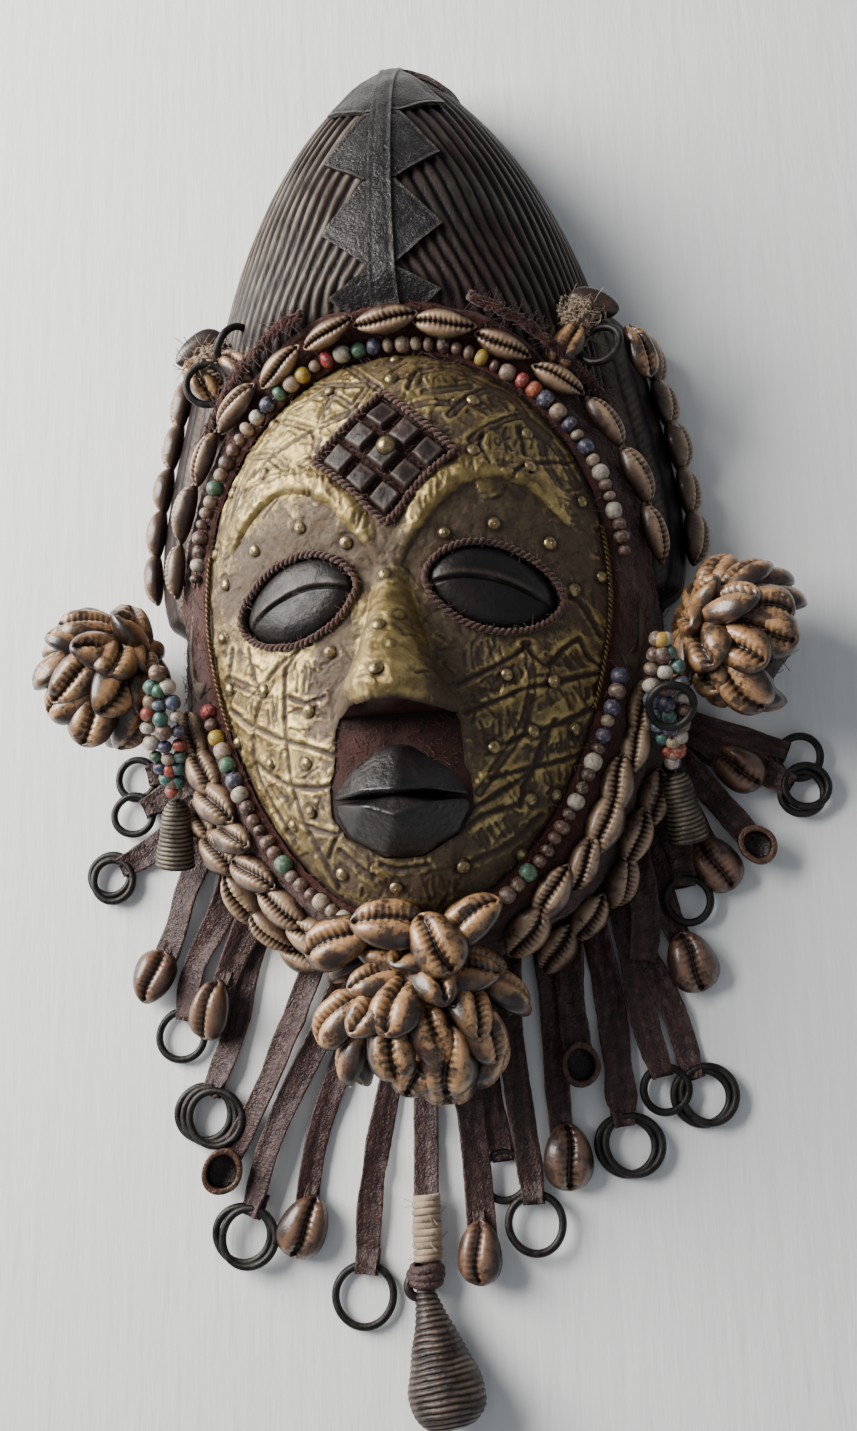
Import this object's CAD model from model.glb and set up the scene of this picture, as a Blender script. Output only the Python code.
import math

import bpy
import numpy as np
from mathutils import Matrix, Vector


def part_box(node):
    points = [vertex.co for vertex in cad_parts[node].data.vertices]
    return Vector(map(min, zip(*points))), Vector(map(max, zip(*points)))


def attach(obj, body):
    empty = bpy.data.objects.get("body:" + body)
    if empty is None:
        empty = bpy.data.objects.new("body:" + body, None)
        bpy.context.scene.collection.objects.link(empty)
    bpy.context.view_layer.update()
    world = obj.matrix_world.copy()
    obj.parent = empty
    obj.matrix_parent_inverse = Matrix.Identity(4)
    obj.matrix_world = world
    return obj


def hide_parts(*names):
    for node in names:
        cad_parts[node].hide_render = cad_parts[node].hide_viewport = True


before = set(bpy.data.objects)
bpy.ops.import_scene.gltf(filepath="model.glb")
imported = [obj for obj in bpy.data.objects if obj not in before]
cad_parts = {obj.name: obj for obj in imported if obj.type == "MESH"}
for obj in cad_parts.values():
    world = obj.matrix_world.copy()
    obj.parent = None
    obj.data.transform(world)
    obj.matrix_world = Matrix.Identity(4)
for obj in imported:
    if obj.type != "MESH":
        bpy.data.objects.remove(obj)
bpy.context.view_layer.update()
print("frame loaded")

# Shapes are worked out in millimetres from the middle of the face oval's frame,
# and stand in metres at the end.
maskLow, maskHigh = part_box("carved_mask")
lobePeak = 250.0
maskOrigin = np.array([(maskLow.x + maskHigh.x) / 2, maskHigh.y - lobePeak / 1000, maskLow.z])
seeds = np.random.default_rng(41)
sides = {"left": -1, "right": 1}


def inMetres(points):
    return np.asarray(points, dtype=float) * 0.001 + maskOrigin


# Camera

cameraSet = {
    "place": (83.4, -152.7, 589.1),
    "right": (0.98866, -0.03415, -0.14621),
    "up": (0.06321, 0.97796, 0.19899),
    "lens": 37.74,
    "sensor": 36.0,
}


def makeCamera():
    right = np.array(cameraSet["right"])
    up = np.array(cameraSet["up"])
    back = np.cross(right, up)
    turn = Matrix(np.stack([right, up, back], axis=1).tolist()).to_4x4()
    data = bpy.data.cameras.new("camera")
    data.sensor_fit = "VERTICAL"
    data.sensor_height = cameraSet["sensor"]
    data.lens = cameraSet["lens"]
    data.clip_start = 0.02
    camera = bpy.data.objects.new("camera", data)
    bpy.context.scene.collection.objects.link(camera)
    camera.matrix_world = Matrix.Translation(inMetres(cameraSet["place"]).tolist()) @ turn
    bpy.context.scene.camera = camera


makeCamera()
print("camera placed")


# Material helpers

def newMaterial(name, **sockets):
    look = bpy.data.materials.new(name)
    look.use_nodes = True
    shader = look.node_tree.nodes["Principled BSDF"]
    for socket, value in sockets.items():
        shader.inputs[socketNames[socket]].default_value = value
    return look


socketNames = {
    "roughness": "Roughness",
    "metallic": "Metallic",
    "specular": "Specular IOR Level",
    "coat": "Coat Weight",
    "coatRoughness": "Coat Roughness",
    "sheen": "Sheen Weight",
    "sheenRoughness": "Sheen Roughness",
    "subsurface": "Subsurface Weight",
    "subsurfaceScale": "Subsurface Scale",
}


def addNode(look, kind, inputs=None, **settings):
    node = look.node_tree.nodes.new("ShaderNode" + kind)
    for name, value in settings.items():
        setattr(node, name, value)
    for socket, value in (inputs or {}).items():
        if isinstance(value, bpy.types.NodeSocket):
            look.node_tree.links.new(value, node.inputs[socket])
        else:
            node.inputs[socket].default_value = value
    return node


def skinPlace(look, stretch=(1, 1, 1)):
    place = addNode(look, "TexCoord").outputs["Object"]
    if stretch == (1, 1, 1):
        return place
    return addNode(look, "Mapping", {"Vector": place, "Scale": stretch}).outputs["Vector"]


def cloud(look, size, detail=4.0, roughness=0.55, stretch=(1, 1, 1), twist=0.0):
    # size is the width of a patch in millimetres
    inputs = {"Vector": skinPlace(look, stretch), "Scale": 1000.0 / size, "Detail": detail,
              "Roughness": roughness, "Distortion": twist}
    return addNode(look, "TexNoise", inputs).outputs["Fac"]


def cells(look, size, feature="DISTANCE_TO_EDGE"):
    inputs = {"Vector": skinPlace(look), "Scale": 1000.0 / size}
    return addNode(look, "TexVoronoi", inputs, feature=feature).outputs["Distance"]


def fromTo(look, value, low, high, newLow=0.0, newHigh=1.0):
    inputs = {"Value": value, "From Min": low, "From Max": high, "To Min": newLow, "To Max": newHigh}
    return addNode(look, "MapRange", inputs).outputs["Result"]


def sums(look, kind, first, second):
    return addNode(look, "Math", {0: first, 1: second}, operation=kind).outputs["Value"]


def times(look, first, second):
    return sums(look, "MULTIPLY", first, second)


def mixed(look, share, first, second):
    # from the first to the second, each a colour or a socket
    first, second = [tone(*part) if isinstance(part, tuple) else part for part in (first, second)]
    return addNode(look, "Mix", {0: share, 6: first, 7: second}, data_type="RGBA").outputs[2]


def shaded(look, colour, dark):
    # darker where the piece is marked as lying deep
    return mixed(look, marked(look, "shade"), colour, dark)


def marked(look, name, output="Fac"):
    return addNode(look, "Attribute", attribute_name=name).outputs[output]


def bumped(look, height, depth, under=None):
    # depth is in millimetres
    inputs = {"Height": height, "Distance": depth / 1000.0, "Strength": 1.0}
    if under is not None:
        inputs["Normal"] = under
    return addNode(look, "Bump", inputs).outputs["Normal"]


def drive(look, **links):
    shader = look.node_tree.nodes["Principled BSDF"]
    names = {"colour": "Base Color", "roughness": "Roughness", "metallic": "Metallic", "normal": "Normal"}
    for name, value in links.items():
        look.node_tree.links.new(value, shader.inputs[names[name]])
    return look


def tone(red, green, blue):
    # a colour as the eye reads it, 0 to 255 a part
    def linear(part):
        return part / 12.92 if part <= 0.04045 else ((part + 0.055) / 1.055) ** 2.4
    return (linear(red / 255.0), linear(green / 255.0), linear(blue / 255.0), 1.0)


# Mesh helpers

class Shape:
    # the points, faces and marks of one piece
    def __init__(self):
        self.points = []
        self.faces = []
        self.marks = {"shade": [], "tint": [], "rub": []}
        self.paint = []
        self.count = 0

    def add(self, points, faces, paint=(1, 1, 1), closed=False, **marks):
        points = np.asarray(points, dtype=float).reshape(-1, 3)
        faces = [np.asarray(block, dtype=int) for block in faces if len(block)]
        if closed and bagVolume(points, faces) < 0:
            faces = [block[:, ::-1] for block in faces]
        self.points.append(points)
        self.faces += [(block + self.count).tolist() for block in faces]
        for name, values in self.marks.items():
            values.append(np.broadcast_to(np.ravel(marks.get(name, 0.0)), len(points)))
        self.paint.append(np.broadcast_to(paint, (len(points), 3)))
        self.count += len(points)


def bagVolume(points, faces):
    centred = points - points.mean(axis=0)
    total = 0.0
    for block in faces:
        a = centred[block[:, 0]]
        for k in range(1, block.shape[1] - 1):
            total += np.einsum("ij,ij->", a, np.cross(centred[block[:, k]], centred[block[:, k + 1]]))
    return total


def gridFaces(rows, columns, wrap=False):
    index = np.arange(rows * columns).reshape(rows, columns)
    if wrap:
        index = np.concatenate([index, index[:, :1]], axis=1)
    corners = [index[:-1, :-1], index[:-1, 1:], index[1:, 1:], index[1:, :-1]]
    return np.stack(corners, axis=-1).reshape(-1, 4)


def fanFaces(ring, middle):
    return np.stack([ring, np.roll(ring, -1), np.full(len(ring), middle)], axis=1)


def flipped(faces, when):
    return faces[:, ::-1] if when else faces


def keepAbove(shape, floor):
    for block in shape.points:
        block[:, 2] = np.maximum(block[:, 2], floor)


def addTube(shape, rings, capped=True, **marks):
    # rings: rows x around x 3, each a closed loop; the caps take the shade of the ends, and no rub
    rows, around = rings.shape[:2]
    points = rings.reshape(-1, 3)
    blocks = [gridFaces(rows, around, wrap=True)]
    if capped:
        points = np.concatenate([points, rings[:1].mean(axis=1), rings[-1:].mean(axis=1)])
        first = np.arange(around)
        blocks.append(fanFaces(first, rows * around)[:, ::-1])
        blocks.append(fanFaces(first + (rows - 1) * around, rows * around + 1))
        for name, values in marks.items():
            if np.ndim(values) == 2:
                flat = np.ravel(values)
                marks[name] = np.append(flat, [flat[0], flat[-1]] if name == "shade" else [0, 0])
    shape.add(points, blocks, closed=True, **marks)


def makePiece(name, shape, material, nodes, sharp=None):
    mesh = bpy.data.meshes.new(name)
    points = np.concatenate(shape.points)
    points[:, 2] = np.maximum(points[:, 2], 0)
    mesh.from_pydata(inMetres(points).tolist(), [], sum(shape.faces, []))
    for mark, values in shape.marks.items():
        data = mesh.attributes.new(mark, "FLOAT", "POINT")
        data.data.foreach_set("value", np.concatenate(values).astype(np.float32))
    colours = np.column_stack([np.concatenate(shape.paint), np.ones(len(points))])
    paint = mesh.color_attributes.new("paint", "FLOAT_COLOR", "POINT")
    paint.data.foreach_set("color", colours.astype(np.float32).ravel())
    mesh.materials.append(material)
    mesh.shade_smooth()
    if sharp is not None:
        mesh.set_sharp_from_angle(angle=math.radians(sharp))
    piece = bpy.data.objects.new(name, mesh)
    bpy.context.scene.collection.objects.link(piece)
    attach(piece, "root")
    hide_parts(*nodes)


def unit(vectors):
    vectors = np.asarray(vectors, dtype=float)
    return vectors / np.maximum(1e-9, np.linalg.norm(vectors, axis=-1, keepdims=True))


def smooth(low, high, value):
    t = np.clip((np.asarray(value, dtype=float) - low) / (high - low), 0, 1)
    return t * t * (3 - 2 * t)


def bell(value, width):
    return np.exp(-(np.asarray(value) / width) ** 2)


def sway(count, size, spread):
    # smooth random values: one every spread items, eased between
    knots = seeds.normal(0, size, int(count / spread) + 4)
    at = np.linspace(0, len(knots) - 1.001, count)
    low = at.astype(int)
    t = smooth(0, 1, at - low)
    return knots[low] * (1 - t) + knots[low + 1] * t


def ripple(points, size):
    # smooth noise from -1 to 1, made of sine waves across the place, size mm wide
    x, y, z = np.moveaxis(np.asarray(points) / size, -1, 0)
    wave = np.sin(2.1 * x + 1.3 * np.sin(1.7 * y + 0.4) + 0.9 * z)
    wave += np.sin(1.9 * y - 1.1 * z + 1.2 * np.sin(1.3 * x + 2.2))
    wave += np.sin(2.3 * z + 1.6 * np.sin(1.1 * x - 0.8 * y + 5.1))
    return wave / 3


def xyz(x, y, z):
    return np.stack(np.broadcast_arrays(x, y, z), axis=-1)


def circle(count):
    return 2 * np.pi * np.arange(count) / count


def upward(points):
    return np.tile([0.0, 0.0, 1.0], (len(points), 1))


def reachAlong(path):
    # how far along a path each of its points lies
    steps = np.linalg.norm(np.diff(path, axis=0), axis=1)
    return np.concatenate([[0], np.cumsum(steps)])


def along(path, spacing):
    # points spaced evenly along a path
    path = np.asarray(path, dtype=float)
    lengths = reachAlong(path)
    count = max(3, int(round(lengths[-1] / spacing)) + 1)
    at = np.linspace(0, lengths[-1], count)
    return xyz(*[np.interp(at, lengths, path[:, k]) for k in range(3)])


def rounded(path, spacing, passes=3):
    # a smooth curve near a few points, ends kept
    curve = along(path, spacing)
    for _ in range(passes):
        middle = (curve[:-2] + 2 * curve[1:-1] + curve[2:]) / 4
        curve = np.concatenate([curve[:1], middle, curve[-1:]])
    return curve


def frameAlong(path, ups, loop=False):
    # the way sideways and the way up at each point of a path
    if loop:
        ahead = unit(np.roll(path, -1, axis=0) - np.roll(path, 1, axis=0))
    else:
        ahead = unit(np.gradient(path, axis=0))
    side = unit(np.cross(ahead, ups))
    return side, unit(np.cross(side, ahead))


def tubeRings(path, ups, halfWidth, halfHeight, around, loop=False):
    side, up = frameAlong(path, ups, loop)
    angle = circle(around)
    rings = path[:, None, :] + side[:, None, :] * np.cos(angle)[None, :, None] * halfWidth
    rings = rings + up[:, None, :] * np.sin(angle)[None, :, None] * halfHeight
    return np.concatenate([rings, rings[:1]]) if loop else rings


def addCord(shape, path, ups, radius, pitch, strands=2, loop=False, hairiness=0.0, around=6):
    # twisted strands round a path; pitch is one whole turn in mm
    side, up = frameAlong(path, ups, loop)
    steps = np.linalg.norm(np.diff(path, axis=0, append=path[:1] if loop else path[-1:]), axis=1)
    lengths = np.concatenate([[0], np.cumsum(steps)[:-1]])
    turns = 2 * np.pi * lengths / pitch
    if loop:
        turns *= round(steps.sum() / pitch) / (steps.sum() / pitch)
    for strand in range(strands):
        phase = turns + 2 * np.pi * strand / strands
        offset = side * np.cos(phase)[:, None] + up * np.sin(phase)[:, None]
        core = path + offset * radius * 0.5
        core = core + seeds.normal(0, hairiness, core.shape)
        rings = tubeRings(core, offset, radius * 0.56, radius * 0.56, around, loop)
        shade = np.broadcast_to(0.5 - 0.5 * np.sin(circle(around)), rings.shape[:2])
        addTube(shape, rings, capped=not loop, shade=shade, tint=seeds.random())


def spokes(axis, beside, around):
    # ways out from an axis, all round it
    first = unit(np.cross(axis, beside))
    second = np.cross(axis, first)
    angle = circle(around)
    return first * np.cos(angle)[:, None] + second * np.sin(angle)[:, None]


def turnedRings(profile, at, direction, around):
    # profile: rows of radius and distance along the axis
    axis = unit(direction)
    spoke = spokes(axis, (0, 0, 1) if abs(axis[2]) < 0.9 else (1, 0, 0), around)
    profile = np.asarray(profile, dtype=float)
    return np.asarray(at) + axis * profile[:, None, 1:2] + spoke[None] * profile[:, None, 0:1]


def placedPoints(points, at, ahead, up):
    x = unit(ahead)
    y = unit(np.cross(up, x))
    z = np.cross(x, y)
    return np.asarray(at) + points[..., 0:1] * x + points[..., 1:2] * y + points[..., 2:3] * z


def hermite(pairs, at, column=1):
    # the same eased curve through a few values that the solids use
    pairs = np.asarray(pairs, dtype=float)
    places = pairs[:, 0]
    values = pairs[:, column]
    slopes = np.gradient(values, places)
    slopes[1:-1] = (values[2:] - values[:-2]) / (places[2:] - places[:-2])
    at = np.clip(at, places[0], places[-1])
    i = np.clip(np.searchsorted(places, at) - 1, 0, len(places) - 2)
    h = places[i + 1] - places[i]
    t = (at - places[i]) / h
    first = (2 * t ** 3 - 3 * t ** 2 + 1) * values[i] + (t ** 3 - 2 * t ** 2 + t) * slopes[i] * h
    return first + (3 * t ** 2 - 2 * t ** 3) * values[i + 1] + (t ** 3 - t ** 2) * slopes[i + 1] * h


def smoothTable(places, rows, at):
    # both columns of a table, read between its rows
    table = np.column_stack([places, rows])
    return np.column_stack([hermite(table, at, 1), hermite(table, at, 2)])


# The head's skin: heights over the floor, as the carved solid has them.

headSet = {
    "top": 98.0,
    "height": 210.0,
    "eyes": 0.46,
    "browRoot": 0.4,
    "noseBase": 2 / 3,
    "mouth": 0.81,
    "middle": [
        [-112, 50], [-104, 60], [-90, 68], [-70, 73], [-40, 76], [0, 80], [30, 86], [55, 88], [78, 82],
        [90, 74], [98, 64],
    ],
    "edge": [[-112, 50], [-80, 47], [-30, 45], [15, 46], [55, 51], [85, 58], [98, 64]],
}
faceEgg = {"centreY": 5.0, "halfWidth": 76.0, "up": 93.0, "down": 117.0, "upPower": 2.3, "downPower": 1.6}
rimEgg = {"centreY": 5.0, "halfWidth": 97.0, "up": 150.0, "down": 135.0, "upPower": 2.6, "downPower": 3.0}
lobeSet = {"footY": 84.0, "crestY": 130.0, "halfWidth": 91.0, "height": 80.0}
wingSet = {
    "innerX": 64.0,
    "innerHeight": 44.0,
    "edgeHeight": 13.0,
    "border": 6.0,
    "ribs": 7.0,
    "outline": [[9, 97], [15, 104.5], [42, 107], [70, 103.5], [95, 98.5], [125, 90.5], [136, 80]],
}
noseSet = {
    "rows": [[0, 4, 3, 0], [0.25, 6, 4, 6], [0.55, 10, 5.5, 17], [0.82, 16, 7.5, 27], [0.93, 19, 8, 30],
             [1, 19, 7, 28]],
    "rootZ": 76.0,
    "ridgeZ": 82.0,
    "wing": 2.4,
}


def faceLine(share):
    return headSet["top"] - share * headSet["height"]


eyeY = faceLine(headSet["eyes"])
mouthY = faceLine(headSet["mouth"])
noseBaseY = faceLine(headSet["noseBase"])
browRootY = faceLine(headSet["browRoot"])


def eggArms(egg, v):
    # an oval's reach and roundness over or under its middle
    return np.where(v > 0, egg["up"], egg["down"]), np.where(v > 0, egg["upPower"], egg["downPower"])


def eggMeasure(egg, x, y):
    v = y - egg["centreY"]
    reach, power = eggArms(egg, v)
    return np.sqrt((x / egg["halfWidth"]) ** 2 + np.abs(v / reach) ** power)


def eggPoint(egg, angle):
    s = np.sin(angle)
    reach, power = eggArms(egg, s)
    y = egg["centreY"] + np.sign(s) * reach * np.abs(s) ** (2 / power)
    return np.stack([egg["halfWidth"] * np.cos(angle), y], axis=-1)


def eggHalfWidth(egg, y):
    v = y - egg["centreY"]
    reach, power = eggArms(egg, v)
    return egg["halfWidth"] * np.sqrt(np.maximum(0, 1 - np.abs(v / reach) ** power))


def outsideFace(angle, distance):
    # a point that stands outside the face's oval, square to it
    angle = np.asarray(angle, dtype=float)
    way = eggPoint(faceEgg, angle + 0.01) - eggPoint(faceEgg, angle - 0.01)
    out = np.stack([way[..., 1], -way[..., 0]], axis=-1)
    return eggPoint(faceEgg, angle) + unit(out) * np.asarray(distance, dtype=float)[..., None]


def domeZ(x, y):
    edge = hermite(headSet["edge"], y)
    inside = eggMeasure(faceEgg, x, y)
    share = np.minimum(1, np.abs(x) / np.maximum(1e-6, eggHalfWidth(faceEgg, y)))
    socket = bell(np.abs(x) - 36, 19) * bell(y - eyeY - 5, 17)
    muzzle = bell(x, 30) * bell(y - mouthY, 24)
    middle = edge + (hermite(headSet["middle"], y) - edge) * (1 - share ** 2.4) - 4.5 * socket + 4 * muzzle
    toRim = eggMeasure(rimEgg, x, y)
    fall = np.clip((inside - 1) / np.maximum(1e-6, inside - toRim), 0, 1)
    wall = np.where(toRim < 1, edge * (1 - fall ** 1.6) ** 0.7, 0)
    return np.where(inside <= 1, middle, wall)


def lobeHalfWidth(y):
    share = np.maximum(0, (y - 20) / (lobePeak - 20))
    return lobeSet["halfWidth"] * np.maximum(0, 1 - share ** 2.6) ** 0.72


def lobeCrest(y):
    rise = np.clip((y - lobeSet["crestY"]) / (lobePeak - lobeSet["crestY"]), 0, 1)
    above = lobeSet["height"] * np.sqrt(np.maximum(0, 1 - rise ** 2.4))
    return np.where(y > lobeSet["crestY"], above, lobeSet["height"] - 0.0025 * (lobeSet["crestY"] - y) ** 2)


def lobeZ(x, y):
    share = np.minimum(1, np.abs(x) / np.maximum(1e-6, lobeHalfWidth(y)))
    rise = 0.79 + 0.21 * smooth(1.02, 1.4, eggMeasure(faceEgg, x, y))
    return np.where(share < 1, rise * lobeCrest(y) * (1 - share ** 2.1) ** 0.5, 0)


def wingZ(x, y):
    edge = hermite(wingSet["outline"], y)
    share = np.maximum(0, np.abs(x) - wingSet["innerX"]) / (edge - wingSet["innerX"])
    height = wingSet["innerHeight"] + (wingSet["edgeHeight"] - wingSet["innerHeight"]) * share ** 1.3
    outside = (np.abs(x) > edge) | (y < wingSet["outline"][0][0]) | (y > wingSet["outline"][-1][0])
    return np.where(outside, 0, height)


def noseZ(x, y):
    share = np.clip((browRootY - y) / (browRootY - noseBaseY), 0, 1)
    halfBase, halfRidge, rise = [hermite(noseSet["rows"], share, column) for column in (1, 2, 3)]
    ridge = noseSet["ridgeZ"] - 2 * share + rise
    across = np.abs(x)
    corners = [(0.6 * halfRidge, ridge), ((halfBase + halfRidge) / 2, ridge - 0.36 * rise - 1),
               (halfBase, noseSet["rootZ"] + 2), (halfBase + 3, noseSet["rootZ"] - 8)]
    height = ridge
    for (x0, z0), (x1, z1) in zip(corners[:-1], corners[1:]):
        height = np.where(across > x0, z0 + (z1 - z0) * np.clip((across - x0) / (x1 - x0), 0, 1), height)
    height = height + noseSet["wing"] * bell(across - 13, 4.5) * bell(y - noseBaseY - 6, 6)
    inside = (across < halfBase + 3) & (y < browRootY + 2)
    return np.where(inside, height, 0)


browSet = {
    "outerX": 67.0, "innerX": 4.0, "outerY": 24.0, "arch": 26.5, "width": 5.6, "rise": 2.9, "edge": 1.0,
}


def browLine(t):
    arch = browSet["arch"] * np.sin(np.pi * t) ** 0.8
    return browSet["outerY"] + (browRootY - browSet["outerY"]) * t + arch


def browRise(x, y):
    # a raised arch, sharp below and soft above
    t = np.clip((browSet["outerX"] - np.abs(x)) / (browSet["outerX"] - browSet["innerX"]), 0, 1)
    slope = 1 + (browSet["arch"] * np.pi / 63 * np.cos(np.pi * t)) ** 2
    above = (y - browLine(t) + 3.0) / np.sqrt(slope)
    ends = smooth(0, 0.12, t) * (1 - 0.5 * smooth(0.86, 1, t))
    ends = ends * smooth(0, 6, browSet["outerX"] + 3 - np.abs(x))
    rise = smooth(-browSet["edge"], browSet["edge"], above) * (1 - smooth(3, browSet["width"] + 4, above))
    return browSet["rise"] * rise * ends


mapStep = 0.5
mapX = np.arange(-126, 126.1, mapStep)
mapY = np.arange(-156, 258.1, mapStep)
mapGrid = np.meshgrid(mapX, mapY)


def blurred(grid, size):
    reach = int(3 * size / mapStep)
    kernel = np.exp(-0.5 * (np.arange(-reach, reach + 1) * mapStep / size) ** 2)
    kernel /= kernel.sum()
    padded = np.pad(grid, reach, mode="edge")
    rows = sum(kernel[i] * padded[i:i + grid.shape[0]] for i in range(len(kernel)))
    return sum(kernel[i] * rows[:, i:i + grid.shape[1]] for i in range(len(kernel)))


def heightsOf(grid):
    # reads a height map between its points
    def read(x, y):
        u = np.clip((np.asarray(x, dtype=float) - mapX[0]) / mapStep, 0, len(mapX) - 1.001)
        v = np.clip((np.asarray(y, dtype=float) - mapY[0]) / mapStep, 0, len(mapY) - 1.001)
        i = u.astype(int)
        j = v.astype(int)
        s = u - i
        t = v - j
        low = grid[j, i] * (1 - s) + grid[j, i + 1] * s
        return low * (1 - t) + (grid[j + 1, i] * (1 - s) + grid[j + 1, i + 1] * s) * t
    return read


def normalOf(height, spots, step=1.0):
    x, y = spots[..., 0], spots[..., 1]
    dx = (height(x + step, y) - height(x - step, y)) / (2 * step)
    dy = (height(x, y + step) - height(x, y - step)) / (2 * step)
    return unit(xyz(-dx, -dy, 1.0))


def lifted(height, spots, rise, step=1.0):
    # points over a skin, moved square to it
    x, y = spots[..., 0], spots[..., 1]
    return xyz(x, y, height(x, y)) + normalOf(height, spots, step) * np.asarray(rise)[..., None]


domeGrid = domeZ(*mapGrid)
underGrid = blurred(domeGrid, 1.0)
noseGrid = blurred(np.maximum(domeGrid, noseZ(*mapGrid)), 1.1)
withNose = smooth(noseBaseY - 1.2, noseBaseY - 0.4, mapGrid[1])
faceGrid = underGrid + (noseGrid - underGrid) * withNose + blurred(browRise(*mapGrid), 0.35)
headGrid = np.maximum(np.maximum(domeGrid, lobeZ(*mapGrid)), wingZ(*mapGrid))
underSkin = heightsOf(underGrid)
faceSkin = heightsOf(faceGrid)
restSkin = heightsOf(blurred(headGrid, 2.6))
lobeSkin = heightsOf(lobeZ(*mapGrid))


def sideReach(x, y, start, end):
    # distance to one side of an outline
    ex, ey = end - start
    t = np.clip(((x - start[0]) * ex + (y - start[1]) * ey) / max(1e-9, ex * ex + ey * ey), 0, 1)
    return np.hypot(x - start[0] - t * ex, y - start[1] - t * ey)


def polygonReach(x, y, outline):
    # distance to an outline, positive inside it
    outline = np.asarray(outline, dtype=float)
    best = np.full(np.shape(x), 1e9)
    inside = np.zeros(np.shape(x), dtype=bool)
    for start, end in zip(outline, np.roll(outline, -1, axis=0)):
        best = np.minimum(best, sideReach(x, y, start, end))
        crosses = ((start[1] <= y) & (y < end[1])) | ((end[1] <= y) & (y < start[1]))
        slope = (end[0] - start[0]) / (end[1] - start[1]) if end[1] != start[1] else 0.0
        inside ^= crosses & (x < start[0] + (y - start[1]) * slope)
    return np.where(inside, best, -best)


def eggReach(egg, x, y):
    step = 0.5
    value = eggMeasure(egg, x, y)
    dx = (eggMeasure(egg, x + step, y) - eggMeasure(egg, x - step, y)) / (2 * step)
    dy = (eggMeasure(egg, x, y + step) - eggMeasure(egg, x, y - step)) / (2 * step)
    return (1 - value) / np.maximum(1e-4, np.hypot(dx, dy))


def clippedGrid(box, step, inside):
    # a fine square grid, cut to an outline: its last points are drawn onto the outline
    xs = np.arange(box[0], box[1] + step, step)
    ys = np.arange(box[2], box[3] + step, step)
    x, y = [grid.ravel() for grid in np.meshgrid(xs, ys)]
    reach = inside(x, y)
    near = (reach < 0) & (reach > -1.3 * step)
    h = 0.1
    for _ in range(2):
        px, py = x[near], y[near]
        value = inside(px, py)
        gx = (inside(px + h, py) - inside(px - h, py)) / (2 * h)
        gy = (inside(px, py + h) - inside(px, py - h)) / (2 * h)
        size = np.maximum(0.2, gx * gx + gy * gy)
        x[near] = px - np.clip(value * gx / size, -1.5 * step, 1.5 * step)
        y[near] = py - np.clip(value * gy / size, -1.5 * step, 1.5 * step)
    faces = gridFaces(len(ys), len(xs))
    faces = faces[((reach >= 0) | near)[faces].all(axis=1) & (reach >= 0)[faces].any(axis=1)]
    used, faces = np.unique(faces, return_inverse=True)
    return x[used], y[used], faces.reshape(-1, 4)


def cutGrid(outline, step, box=None):
    # the grid inside a polygon
    if box is None:
        box = np.stack([outline.min(axis=0) - 1, outline.max(axis=0) + 1]).T.ravel()
    return clippedGrid(box, step, lambda x, y: polygonReach(x, y, outline))


def addSkirt(shape, points, faces, normals, depth, **marks):
    # the cut edge of a sheet, turned down by its thickness
    edges = np.concatenate([faces[:, [k, (k + 1) % 4]] for k in range(4)])
    _, first, counts = np.unique(np.sort(edges, axis=1), axis=0, return_index=True, return_counts=True)
    used, number = np.unique(edges[first[counts == 1]], return_inverse=True)
    number = number.reshape(-1, 2)
    upper = points[used]
    lower = upper - normals[used] * depth
    skirt = np.concatenate([number[:, ::-1], number + len(used)], axis=1)
    shape.add(np.concatenate([upper, lower]), [skirt], **marks)


def addFibres(shape, roots, normals, count, length, radius):
    # short curved hairs that lie on a surface
    for i in seeds.integers(0, len(roots), count):
        up = normals[i]
        way = seeds.normal(0, 1, 3)
        way = unit(way - up * (way @ up) * 0.75)
        bend = seeds.normal(0, 0.5, 3)
        t = np.array([[0.0], [0.5], [1.0]])
        reach = length * (0.5 + seeds.random())
        arch = up * (radius + 0.5 * np.sin(np.pi * t))
        path = roots[i] + way * t * reach + bend * (t ** 2) * reach * 0.5 + arch
        rings = tubeRings(path, np.tile(up, (3, 1)), radius, radius, 3)
        shape.add(rings, [gridFaces(3, 3, wrap=True)], tint=seeds.random())


print("skin of the head worked out")

# Materials

def carvedWoodLook():
    # brown-black wood under old polish, paler where hands have rubbed the ribs, red-brown in places
    look = newMaterial("rubbed dark wood", specular=0.2)
    grain = cloud(look, 9, detail=6, stretch=(1, 0.16, 1), twist=0.6)
    patches = cloud(look, 34, detail=3)
    dark = mixed(look, grain, (15, 12, 12), (34, 26, 24))
    warm = mixed(look, fromTo(look, patches, 0.4, 0.7), dark, (44, 26, 23))
    worn = fromTo(look, cloud(look, 14, detail=5), 0.28, 0.6)
    rubbed = mixed(look, fromTo(look, cloud(look, 21, detail=4), 0.54, 0.68, 0, 0.75),
                   mixed(look, grain, (96, 84, 75), (158, 144, 128)), (92, 56, 46))
    pale = mixed(look, times(look, marked(look, "rub"), worn), warm, rubbed)
    deep = shaded(look, pale, (7, 5, 5))
    gloss = fromTo(look, patches, 0.3, 0.7, 0.4, 0.6)
    fine = bumped(look, cloud(look, 1.6, detail=4, stretch=(1, 0.3, 1)), 0.25)
    return drive(look, colour=deep, roughness=gloss, normal=fine)


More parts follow.
